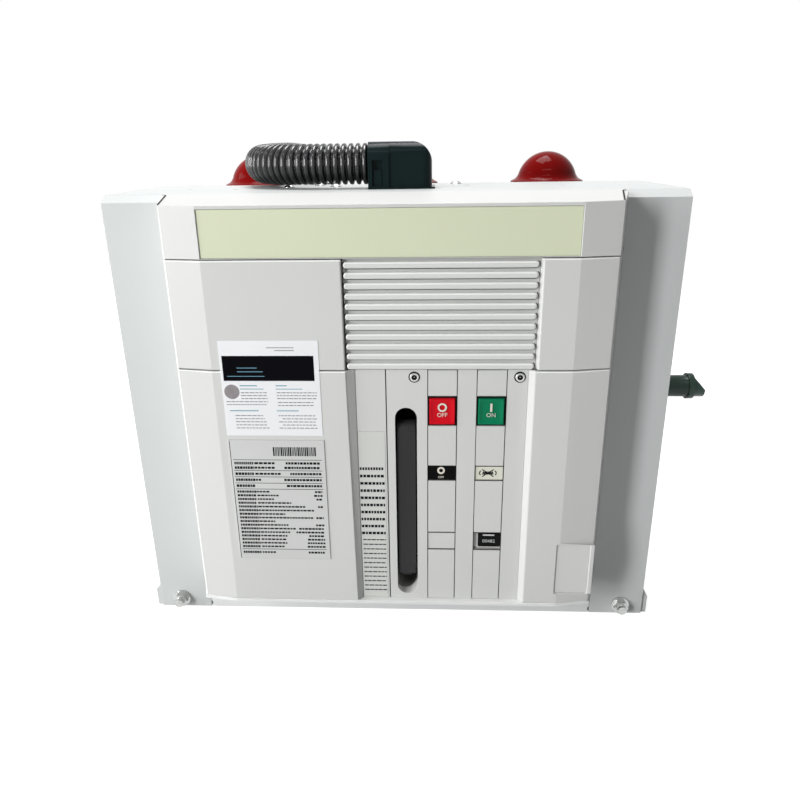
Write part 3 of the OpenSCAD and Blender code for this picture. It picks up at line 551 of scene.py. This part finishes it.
# near-black strips in the panel's grooves are painted shade
groove_shade_black = finish("groove_shade_black", (0.020, 0.020, 0.019), (0.045, 0.045, 0.043), 0.8,
                    0.5 * mm, 0.02 * mm, specular=0.05)
dress(("control_panel",), cover_plastic, 0.35 * mm)
dress(("panel_inserts",), cover_plastic, 0.4 * mm)
dress(("label_strip",), label_film, 0.15 * mm)
ink_t = 0.04 * mm
ink_bed = 0.01 * mm


def print_bars(name, bars, front, material, body="housing"):
    """Thin flat bars printed on a face that lies at front. Each is left, right, low, high in mm."""
    shape = bmesh.new()
    for left, right_end, low, high in bars:
        round_box((left * mm, front - ink_t, low * mm), (right_end * mm, front + ink_bed, high * mm),
                  shape=shape)
    make_piece(name, shape, material, body)


def dashes(left, right_end, low, high, seed, gap, shortest, longest):
    """A row of plain dashes of uneven lengths, in millimetres."""
    row = []
    here, k = left, seed
    while here < right_end:
        k = (k * 13 + 7) % 31
        there = min(here + shortest + (longest - shortest) * k / 30, right_end)
        if there - here > 0.8:
            row.append((here, there, low, high))
        here = there + gap
    return row


label_low, label_high = (Vector(corner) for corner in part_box("label_strip"))
label_left, label_right = label_low.x / mm + 0.4, label_high.x / mm - 1.0
block_low, block_h, block_pitch = 164.0, 2.4, 6.6
dash_low, dash_h, dash_pitch = 98.9, 1.0, 4.5
block_rows = []
for k in range(10):
    low = block_low - k * block_pitch
    block_rows += dashes(label_left, label_right, low, low + block_h, k + 2, 0.6, 1.5, 2.8)
print_bars("label_blocks", block_rows, label_low.y, print_black)
dash_rows = []
for k in range(12):
    low = dash_low - k * dash_pitch
    dash_rows += dashes(label_left + 0.8, label_right, low, low + dash_h, k + 5, 0.5, 2.0, 4.5)
print_bars("label_dashes", dash_rows, label_low.y, print_black)

# the black strips in the panel's joints round its label strip, its two columns and their inserts,
# painted shade at the bottoms of the grooves, in millimetres
panel_foot, panel_head = 42.5, 249.0
label_joint = (-4.35, -3.75)
columns = ((28.0, 51.4), (65.8, 89.3))
insert_joints = (90.7, 106.7, 155.2, 167.6, 203.2, 226.8)
side_joint_w = 0.65
cross_joint_half = 0.35
joints = [(*label_joint, panel_foot, panel_head)]
for left, right_end in columns:
    joints += [(left, left + side_joint_w, panel_foot, panel_head),
               (right_end - side_joint_w, right_end, panel_foot, panel_head)]
    joints += [(left, right_end, z - cross_joint_half, z + cross_joint_half) for z in insert_joints]
print_bars("panel_joint_shades", joints, -104.0 * mm, groove_shade_black)
# the inserts' lower ends run into the panel without a joint
insert_feet = [(left + 0.7, right_end - 0.7, 42.05, 43.3) for left, right_end in columns]
print_bars("insert_feet", insert_feet, -104.6 * mm, cover_plastic)

# ---- Sticker and rating plate ----
# A white paper sticker and a satin aluminium plate are stuck to the left of the face. They
# carry plain blocks, ruled lines and dashes, and no words.
sticker_paper = finish("sticker_paper", (0.84, 0.85, 0.87), (0.80, 0.81, 0.83), 0.5, 0.4 * mm, 0.01 * mm)
plate_silver = finish("plate_silver", (0.52, 0.525, 0.52), (0.47, 0.475, 0.47), 0.42,
                      0.4 * mm, 0.01 * mm, metallic=0.35, stretch=(0.1, 1, 1))
band_ink = finish("band_ink", (0.002, 0.002, 0.003), (0.005, 0.005, 0.008), 0.6,
                  0.3 * mm, 0.004 * mm, specular=0.02)
blue_ink = finish("blue_ink", (0.10, 0.27, 0.36), (0.16, 0.34, 0.42), 0.5, 0.3 * mm, 0.004 * mm)
seal_grey = finish("seal_grey", (0.22, 0.20, 0.21), (0.32, 0.29, 0.30), 0.4,
                   0.6 * mm, 0.01 * mm, spread=0.006)
dress(("data_sticker",), sticker_paper, 0.1 * mm)
dress(("rating_plate",), plate_silver, 0.2 * mm)
sticker_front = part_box("data_sticker")[0][1]
plate_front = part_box("rating_plate")[0][1]

# the sticker's band, headings and lines, each as left, right, low and high in millimetres
band = [(-128.4, -58.0, 241.5, 261.5)]
band_lines = [(-117.5, -97.5, 248.6, 249.2), (-117.5, -102.0, 251.6, 252.2), (-125.5, -96.5, 245.0, 245.5)]
headings = [(-116.5, -103.0, 237.2, 238.0), (-88.5, -80.0, 237.2, 238.0), (-126.0, -103.5, 216.6, 217.4),
            (-89.0, -72.0, 216.6, 217.4), (-116.5, -98.0, 234.6, 235.2), (-88.5, -68.0, 234.6, 235.2)]
small_print = [(-93.5, -72.5, 267.6, 268.1), (-87.5, -72.5, 265.4, 265.9)]


def small_line(left, right_end, low, seed):
    """Adds one line of the sticker's small print."""
    small_print.extend(dashes(left, right_end, low, low + 0.6, seed, 0.6, 1.5, 4.0))


for k in range(3):
    small_line(-116.0, -95.5, 231.6 - k * 2.4, k + 3)
    small_line(-88.0, -57.0, 231.6 - k * 2.4, k + 8)
for k in range(2):
    small_line(-128.0, -95.5, 224.2 - k * 2.4, k + 1)
    small_line(-87.5, -60.0, 223.6 - k * 2.4, k + 6)
for k in range(5):
    small_line(-122.0, -100.0 + k, 212.6 - k * 2.6, k + 4)
    small_line(-88.0 + 3 * (k % 2), -58.0, 212.6 - k * 2.6, k + 9)
print_bars("sticker_band", band, sticker_front, band_ink)
print_bars("band_dashes", band_lines, sticker_front - ink_t, blue_ink)
print_bars("sticker_headings", headings, sticker_front, blue_ink)
print_bars("sticker_dashes", small_print, sticker_front, print_grey)
disc_place = (-123 * mm, sticker_front + ink_bed, 232.6 * mm)
disc_shape = turned(((0, 6.0 * mm), (0.05 * mm, 5.8 * mm)), disc_place, (0, -1, 0), 40)
make_piece("sticker_disc", disc_shape, seal_grey)

# the plate's uneven upright bars, its rules and its lines of blocks, in millimetres
hatch = []
here, k = -94.7, 3
while here < -60.5:
    k = (k * 7 + 5) % 11
    wide = 0.55 + 0.16 * (k % 5)
    hatch.append((here, here + wide, 178.6, 186.3))
    here += wide + 0.42 + 0.08 * (k % 3)
rules = [(-127.5, -56.0, z, z + 0.45) for z in (174.9, 165.4, 159.8, 154.2, 148.8, 92.5)]
rules += [(-129.4, -128.9, 84.0, 191.6)]
plate_rows = []


def plate_row(low, first_end, right_start, k, high=2.0):
    """One line of plain blocks: heavy at first, lighter after, and a short group at the right."""
    heavy_end = min(first_end, -111.0)
    plate_rows.extend(dashes(-126.8, heavy_end, low, low + high, k + 2, 0.4, 1.1, 2.2))
    if first_end > heavy_end:
        plate_rows.extend(dashes(heavy_end + 0.4, first_end, low + 0.3, low + high - 0.2, k + 4,
                                 0.55, 1.4, 3.2))
    if right_start:
        plate_rows.extend(dashes(right_start, -57.0, low + 0.2, low + high - 0.1, k + 7, 0.5, 1.3, 2.8))


# how low a line is, where its first group ends and where its right group starts
head_lines = ((171.0, -94.0, -85.2), (167.0, -94.2, -86.6), (161.6, -90.0, -82.2), (156.2, -105.5, -87.4),
              (150.8, -110.6, -85.7))
line_ends = ((-99.7, -63.1), (-91.9, -64.0), (-97.2, -62.2), (-83.1, 0), (-71.0, -61.3), (-64.8, 0),
             (-88.8, 0), (-65.9, -63.3), (-97.6, 0), (-86.5, -63.9), (-80.4, -78.2), (-86.0, -80.7),
             (-88.5, -70.2), (-88.7, -71.5), (-89.0, -71.7), (-90.4, -72.1))
for k, (low, first_end, right_start) in enumerate(head_lines):
    plate_row(low, first_end, right_start, k, 2.3)
for k, (first_end, right_start) in enumerate(line_ends):
    plate_row(145.6 - k * 3.42, first_end, right_start, k + 3)
plate_row(88.6, -99.4, -71.6, 5, 2.2)
print_bars("plate_hatch", hatch, plate_front, print_black)
print_bars("plate_rules", rules, plate_front, print_black)
print_bars("plate_dashes", plate_rows, plate_front, print_black)

# ---- Screws and bolts ----
# The panel is held by two sunk socket cap screws, the wings by hexagon bolts with
# washers, and the top plate by low domed screws. All are zinc plated steel, dull in parts.
# A black ring round each cap screw and a black disc in its socket are painted shade.
dull_zinc = finish("dull_zinc", (0.54, 0.55, 0.54), (0.24, 0.25, 0.24), 0.2,
                   0.6 * mm, 0.02 * mm, metallic=1.0, spread=0.006)
# near-black for the painted shade round and inside the cap screws
bore_shade_black = finish("bore_shade_black", (0.008, 0.008, 0.008), (0.018, 0.018, 0.018), 0.6,
                    0.5 * mm, 0.02 * mm, specular=0.05)
dress(("housing_screws",), dull_zinc, 0.5 * mm)
screw_low, screw_high = (Vector(corner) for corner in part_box("panel_screws"))
panel_y = screw_low.y + 2.4 * mm
forward = (0, -1, 0)
node_head_r = 4.25 * mm
head_r = node_head_r - 0.7 * mm
head_out = 1.3 * mm
bore_r = 4.5 * mm
screw_shape = bmesh.new()
socket_shape = bmesh.new()
bore_shape = bmesh.new()
for centre in (screw_low.x + node_head_r, screw_high.x - node_head_r):
    place = (centre, panel_y, (screw_low.z + screw_high.z) / 2)
    turned(((-3.0 * mm, 2.5 * mm), (0, 2.5 * mm), (0, head_r), (0.8 * mm, head_r),
            (1.2 * mm, node_head_r - 1.1 * mm), (head_out, node_head_r - 1.6 * mm), (head_out, 2.15 * mm),
            (0.1 * mm, 2.1 * mm)), place, forward, 36, screw_shape)
    turned(((0.1 * mm, 0.5 * mm), (0.5 * mm, 0.35 * mm)), place, forward, 12, screw_shape)
    turned(((0.05 * mm, 2.2 * mm), (0.2 * mm, 2.2 * mm)), place, forward, 36, socket_shape)
    turned(((0, bore_r), (0.10 * mm, bore_r - 0.05 * mm), (0.10 * mm, 3.3 * mm)), place, forward, 36,
           bore_shape)
cap_screws = make_piece("cap_screws", screw_shape, dull_zinc)
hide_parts("panel_screws")
# black discs in the sockets and black rings round the heads are painted shade
make_piece("screw_socket_shades", socket_shape, bore_shade_black)
make_piece("screw_bore_shades", bore_shape, bore_shade_black)

# ---- Lever guide and charging lever ----
# The charging lever is a coated steel bar that swings in a deep black guide behind its
# slot, and it is pulled out and down to wind the closing spring by hand. A grey sheet in
# the slot's rounded foot and a grey plate behind it are painted shade.
guide_black = finish("guide_black", (0.008, 0.008, 0.009), (0.015, 0.015, 0.016), 0.5,
                     0.6 * mm, 0.02 * mm, specular=0.1)
lever_paint = finish("lever_paint", (0.026, 0.026, 0.027), (0.036, 0.036, 0.037), 0.5,
                     0.8 * mm, 0.03 * mm, specular=0.15)
# grey for the painted shade in the slot's rounded foot
shade_sheet_grey = finish("shade_sheet_grey", (0.23, 0.23, 0.225), (0.29, 0.29, 0.285), 0.6,
                    0.6 * mm, 0.02 * mm, specular=0.1)
dress(("lever_guide",), guide_black, 0.3 * mm)
dress(("charging_lever",), lever_paint, 0.8 * mm, 3)
slot_x = 11.2 * mm
foot_z = 55.4 * mm
# the sheet in the slot's foot and the plate behind it are painted shade
shade_sheet_top = 61.6 * mm
shade_sheet_outer, shade_sheet_inner = 8.58 * mm, 8.40 * mm
shade_sheet_front, shade_sheet_deep = -101.3 * mm, -78.25 * mm
shade_sheet_slant = 0.5 * mm
shade_sheet_steps = 24
shade_sheet_rings = []
shade_sheet_shape = bmesh.new()
for radius, deep in ((shade_sheet_outer, False), (shade_sheet_outer, True), (shade_sheet_inner, True), (shade_sheet_inner, False)):
    ring = []
    for k in range(shade_sheet_steps + 1):
        angle = math.pi + math.pi * k / shade_sheet_steps
        ring.append(shade_sheet_shape.verts.new((slot_x + radius * math.cos(angle),
                                           shade_sheet_deep if deep else shade_sheet_front + shade_sheet_slant * k,
                                           foot_z + radius * math.sin(angle))))
    ring.insert(0, shade_sheet_shape.verts.new((ring[0].co.x, ring[0].co.y, shade_sheet_top)))
    ring.append(shade_sheet_shape.verts.new((ring[-1].co.x, ring[-1].co.y, shade_sheet_top)))
    shade_sheet_rings.append(ring)
for a, b in zip(shade_sheet_rings, shade_sheet_rings[1:] + shade_sheet_rings[:1]):
    for k in range(len(a) - 1):
        shade_sheet_shape.faces.new((a[k], a[k + 1], b[k + 1], b[k]))
for k in (0, -1):
    shade_sheet_shape.faces.new([ring[k] for ring in shade_sheet_rings])
make_piece("slot_shade_sheet", shade_sheet_shape, shade_sheet_grey)
back_shape = round_box((slot_x - shade_sheet_inner, -79.0 * mm, 50.5 * mm),
                       (slot_x + shade_sheet_inner, -78.4 * mm, 61.7 * mm))
make_piece("slot_back_shade", back_shape, shade_sheet_grey)
toe_half = 7.35 * mm
toe_shape = round_box((slot_x - toe_half, -102.5 * mm, 65.2 * mm), (slot_x + toe_half, -92.0 * mm, 74.0 * mm),
                      1.0 * mm, 3)
make_piece("lever_toe", toe_shape, lever_paint, "charging_lever")

# ---- Push buttons ----
# Two square caps of glossy coloured plastic run in black housings. Each has a shallow
# finger dish and a pale printed symbol with its word.
button_red = finish("button_red", (0.62, 0.003, 0.013), (0.54, 0.003, 0.011), 0.30,
                    0.7 * mm, 0.01 * mm, specular=0.12)
button_green = finish("button_green", (0.0, 0.185, 0.080), (0.0, 0.155, 0.066), 0.30,
                      0.7 * mm, 0.01 * mm, specular=0.12)
symbol_white = finish("symbol_white", (0.74, 0.70, 0.62), (0.66, 0.62, 0.55), 0.45, 0.3 * mm, 0.004 * mm)
dress(("button_housing",), guide_black, 0.15 * mm)


def dished_cap(name, node, material):
    """A push button on the body of its own name: rounded edges and a face with a shallow dish."""
    low, high = (Vector(corner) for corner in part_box(node))
    low += Vector((0.25 * mm, 0, 0.45 * mm))
    high -= Vector((0.45 * mm, 0, 0.25 * mm))
    steps = 16
    dish = 1.1 * mm
    edge = 0.9 * mm
    shape = bmesh.new()
    grid = []
    for i in range(steps + 1):
        row = []
        for j in range(steps + 1):
            u, v = i / steps * 2 - 1, j / steps * 2 - 1
            hollow = dish * (1 - u ** 6) * (1 - v ** 6)
            x = (low.x + high.x) / 2 + u * ((high.x - low.x) / 2 - edge * 0.4)
            z = (low.z + high.z) / 2 + v * ((high.z - low.z) / 2 - edge * 0.4)
            row.append(shape.verts.new((x, low.y + hollow, z)))
        grid.append(row)
    for i in range(steps):
        for j in range(steps):
            shape.faces.new((grid[i][j], grid[i + 1][j], grid[i + 1][j + 1], grid[i][j + 1]))
    rim = ([grid[i][0] for i in range(steps)] + [grid[steps][j] for j in range(steps)]
           + [grid[i][steps] for i in range(steps, 0, -1)] + [grid[0][j] for j in range(steps, 0, -1)])
    middle = Vector(((low.x + high.x) / 2, 0, (low.z + high.z) / 2))
    half = Vector(((high.x - low.x) / 2, 0, (high.z - low.z) / 2))
    last = rim
    for depth_in, grow in ((0.25 * mm, 0.22), (0.6 * mm, 0.36), (1.1 * mm, 0.4), (high.y - low.y, 0.4)):
        ring = []
        for corner in rim:
            x = middle.x + (corner.co.x - middle.x) * (half.x - edge * (0.4 - grow)) / (half.x - edge * 0.4)
            z = middle.z + (corner.co.z - middle.z) * (half.z - edge * (0.4 - grow)) / (half.z - edge * 0.4)
            ring.append(shape.verts.new((x, low.y + depth_in, z)))
        for k in range(len(ring)):
            n = (k + 1) % len(ring)
            shape.faces.new((last[k], last[n], ring[n], ring[k]))
        last = ring
    shape.faces.new(last)
    cap = make_piece(name, shape, material, node)
    for face in cap.data.polygons:
        face.use_smooth = abs(face.normal.y) > 0.5 and face.area < 0.0001
    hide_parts(node)
    return low, high


def ring_print(name, x, z, outer, inner, front, material, body):
    """A printed ring: a turned band whose two end faces give way to its inner wall."""
    sides = 40
    ring_t = 0.06 * mm
    shape = turned(((0, inner), (0, outer), (ring_t, outer), (ring_t, inner)), (x, front, z), forward, sides)
    for face in [face for face in shape.faces if len(face.verts) > 4]:
        shape.faces.remove(face)
    corners = list(shape.verts)
    first, last = corners[:sides], corners[-sides:]
    for k in range(sides):
        n = (k + 1) % sides
        shape.faces.new((first[k], first[n], last[n], last[k]))
    make_piece(name, shape, material, body)


def words(name, text, x, z, height, front, material, body="housing"):
    """A printed word, centred on x and standing on z, whose capitals are of that height."""
    type_size = 1.42
    curve = bpy.data.curves.new(name, "FONT")
    curve.body = text
    curve.size = height * type_size
    curve.align_x = "CENTER"
    curve.extrude = 0.03 * mm
    curve.resolution_u = 4
    curve.materials.append(material)
    printed = bpy.data.objects.new(name, curve)
    printed.location = (x, front, z)
    printed.rotation_euler = (math.pi / 2, 0, 0)
    bpy.context.collection.objects.link(printed)
    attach(printed, body)


red_low, red_high = dished_cap("red_button_cap", "open_button", button_red)
green_low, green_high = dished_cap("green_button_cap", "close_button", button_green)
red_x = (red_low.x + red_high.x) / 2
green_x = (green_low.x + green_high.x) / 2
symbol_z = red_high.z - 7.2 * mm
word_z = red_low.z + 6.4 * mm
word_h = 3.3 * mm
bar_half_w, bar_half_h = 0.85, 3.4
ring_print("off_ring", red_x, symbol_z, 3.6 * mm, 2.2 * mm, red_low.y + 0.25 * mm, symbol_white,
           "open_button")
words("off_word", "OFF", red_x, word_z, word_h, red_low.y + 0.22 * mm, symbol_white,
      "open_button")
print_bars("on_bar", [(green_x / mm - bar_half_w, green_x / mm + bar_half_w,
                       symbol_z / mm - bar_half_h, symbol_z / mm + bar_half_h)],
           green_low.y + 0.2 * mm, symbol_white, "close_button")
words("on_word", "ON", green_x, word_z, word_h, green_low.y + 0.22 * mm, symbol_white,
      "close_button")

# ---- Flags and cycle counter ----
# Behind the windows lie a black flag with the open symbol, a cream flag with a crossed
# spring, and a small black counter with plain digits in a grey pocket.
flag_black = finish("flag_black", (0.002, 0.002, 0.002), (0.005, 0.005, 0.005), 0.45,
                    0.5 * mm, 0.01 * mm, specular=0.04)
flag_cream = finish("flag_cream", (0.70, 0.70, 0.60), (0.66, 0.66, 0.55), 0.5, 0.5 * mm, 0.01 * mm)
dress(("state_indicator",), flag_black, 0.15 * mm)
dress(("spring_indicator",), flag_cream, 0.15 * mm)
flag_x = red_x - 0.6 * mm
flag_y = panel_y + 1.4 * mm
flag_z = 161.4 * mm
ring_print("flag_ring", flag_x, flag_z + 2.0 * mm, 3.1 * mm, 1.6 * mm, flag_y + ink_bed, symbol_white,
           "housing")
words("flag_word", "OFF", flag_x, flag_z - 4.9 * mm, 2.0 * mm, flag_y, symbol_white)


def ribbon(points, width, front, shape):
    """Adds a thin printed line through points in X and Z, in millimetres."""
    for (x0, z0), (x1, z1) in zip(points, points[1:]):
        along = Vector((x1 - x0, 0, z1 - z0))
        side = Vector((-along.z, 0, along.x)).normalized() * width / 2
        ends = [Vector((x0, 0, z0)) + side, Vector((x0, 0, z0)) - side,
                Vector((x1, 0, z1)) - side, Vector((x1, 0, z1)) + side]
        corners = [shape.verts.new((end.x * mm, front, end.z * mm)) for end in ends]
        back = [shape.verts.new((end.x * mm, front + 0.05 * mm, end.z * mm)) for end in ends]
        shape.faces.new(corners)
        shape.faces.new(back[::-1])
        for k in range(4):
            shape.faces.new((corners[k], back[k], back[(k + 1) % 4], corners[(k + 1) % 4]))


spring_shape = bmesh.new()
spring_x, spring_z = green_x / mm - 0.8, flag_z / mm
front = flag_y - ink_t
coil = [(spring_x - 4.2 + 0.7 * k, spring_z + (1.5 if k % 2 else -1.5)) for k in range(13)]
ribbon(coil, 0.8, front, spring_shape)
for side in (-1, 1):
    hook = [(spring_x + side * (5.2 + 1.5 * math.sin(a)), spring_z + 1.9 * math.cos(a))
            for a in (0.2, 0.7, 1.2, 1.7, 2.2, 2.7)]
    ribbon(hook, 0.9, front - 0.005 * mm, spring_shape)
    ribbon([(spring_x - 4.6, spring_z - 3.2 * side), (spring_x + 4.6, spring_z + 3.2 * side)], 0.8,
           front - 0.01 * mm * (2 + side), spring_shape)
make_piece("spring_symbol", spring_shape, print_black)

counter_black = finish("counter_black", (0.003, 0.003, 0.003), (0.007, 0.007, 0.007), 0.4,
                       0.5 * mm, 0.01 * mm, specular=0.06)
counter_grey = finish("counter_grey", (0.52, 0.53, 0.54), (0.44, 0.45, 0.46), 0.4, 0.4 * mm, 0.01 * mm)
pocket_y = panel_y + 3.2 * mm
counter_y = panel_y - 0.2 * mm
pocket_shape = round_box((66.4 * mm, pocket_y, 90.9 * mm), (88.6 * mm, pocket_y + 1 * mm, 106.5 * mm))
make_piece("counter_pocket", pocket_shape, cover_plastic)
counter_shape = round_box((70.1 * mm, counter_y, 93.9 * mm), (88.5 * mm, pocket_y, 106.1 * mm), 0.9 * mm, 3)
counter = make_piece("counter_body", counter_shape, counter_black)
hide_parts("cycle_counter")
print_bars("counter_bar", [(74.0, 83.4, 104.5, 105.8)], counter_y, counter_grey)
words("counter_digits", "00482", 78.9 * mm, 98.1 * mm, 3.0 * mm, counter_y, counter_grey)

# ---- Poles and terminals ----
# Each pole is cast in deep red epoxy resin round its vacuum bottle. The glossy domed cap
# rises from a thin rim, sheds run round the middle, and two feet are bolted to the housing.
# Bare copper bars come out at the back.
pole_red = finish("cast_red_epoxy", (0.17, 0.001, 0.001), (0.125, 0.0008, 0.0008), 0.10,
                  3.0 * mm, 0.03 * mm, specular=0.05, spread=0.06)
bare_copper = finish("bare_copper", (0.70, 0.38, 0.26), (0.44, 0.22, 0.14), 0.36,
                     0.5 * mm, 0.02 * mm, metallic=1.0, stretch=(1, 0.1, 1))
# heights and radii of a pole, in millimetres
pole_r = 42.0
cap_r = 37.0
shed_r = 47.0
shed_count = 6
first_shed, shed_pitch = 145, 22
shoulder_z = 373.5
dome_r = 30.5
dome_sink = 1.0
pole_profile = [(34, 38.0), (36, 41.4), (38, pole_r)]
for k in range(shed_count):
    foot = first_shed + shed_pitch * k
    pole_profile += [(foot - 1.6, pole_r), (foot, 43.4), (foot + 1.2, 46.4), (foot + 2.2, shed_r),
                     (foot + 3.2, 46.6), (foot + 5.0, 43.2), (foot + 7.0, pole_r)]
pole_profile += [(351.5, pole_r), (354.0, 41.4), (368.5, 37.6), (370.4, cap_r), (373.2, cap_r)]
for rise, radius in ((0, cap_r), (1.0, 36.6), (1.7, 35.4), (2.5, 33.6), (3.6, 31.9), (5.2, 30.6)):
    pole_profile.append((shoulder_z + rise, radius))
for k in range(1, 22):
    angle = math.radians(12 + 78 * k / 21)
    pole_profile.append((shoulder_z + dome_r * math.sin(angle) - dome_sink, dome_r * math.cos(angle)))
pole_profile = [(along * mm, radius * mm) for along, radius in pole_profile]
boss_r = 33 * mm
boss_reach = 58 * mm
foot_t = 8 * mm
for i in (1, 2, 3):
    low, high = (Vector(corner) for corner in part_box(f"pole_{i}"))
    middle_x = (low.x + high.x) / 2
    middle_y = high.y - boss_reach
    shape = turned(pole_profile, (middle_x, middle_y, 0), (0, 0, 1), 96)
    for z in (95 * mm, 300 * mm):
        turned(((30 * mm, boss_r), (55.5 * mm, boss_r), (57.4 * mm, 32.2 * mm), (boss_reach, 30.5 * mm)),
               (middle_x, middle_y, z), (0, 1, 0), 64, shape)
        round_box((middle_x - 23 * mm, low.y + 4 * mm, z - 18 * mm),
                  (middle_x + 23 * mm, middle_y, z + 18 * mm), 2.5 * mm, 3, shape)
        round_box((middle_x - 35 * mm, low.y, z - 24 * mm),
                  (middle_x + 35 * mm, low.y + foot_t, z + 24 * mm), 1.8 * mm, 3, shape)
    cast = make_piece(f"cast_pole_{i}", shape, pole_red, smooth=True)
    sharp = cast.modifiers.new("flat_ends", "EDGE_SPLIT")
    sharp.split_angle = math.radians(40)
    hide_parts(f"pole_{i}")
dress([f"{level_name}_terminal_{i}" for level_name in ("upper", "lower") for i in (1, 2, 3)],
      bare_copper, 0.6 * mm)

# ---- Elbow and side pin ----
# The conduit elbow and the small stepped pin on the right wall are moulded in glossy nylon,
# the elbow green-black and the pin dark green. The elbow's flange sits on the top plate.
green_black = finish("green_black_nylon", (0.004, 0.011, 0.0115), (0.007, 0.017, 0.017), 0.20,
                     1.4 * mm, 0.04 * mm, specular=0.07)
dark_green = finish("dark_green_nylon", (0.020, 0.052, 0.038), (0.030, 0.068, 0.050), 0.2,
                    1.4 * mm, 0.04 * mm, specular=0.25)
dress(("conduit_elbow",), green_black, 1.0 * mm, 3)
dress(("side_pin",), dark_green, 0.7 * mm)
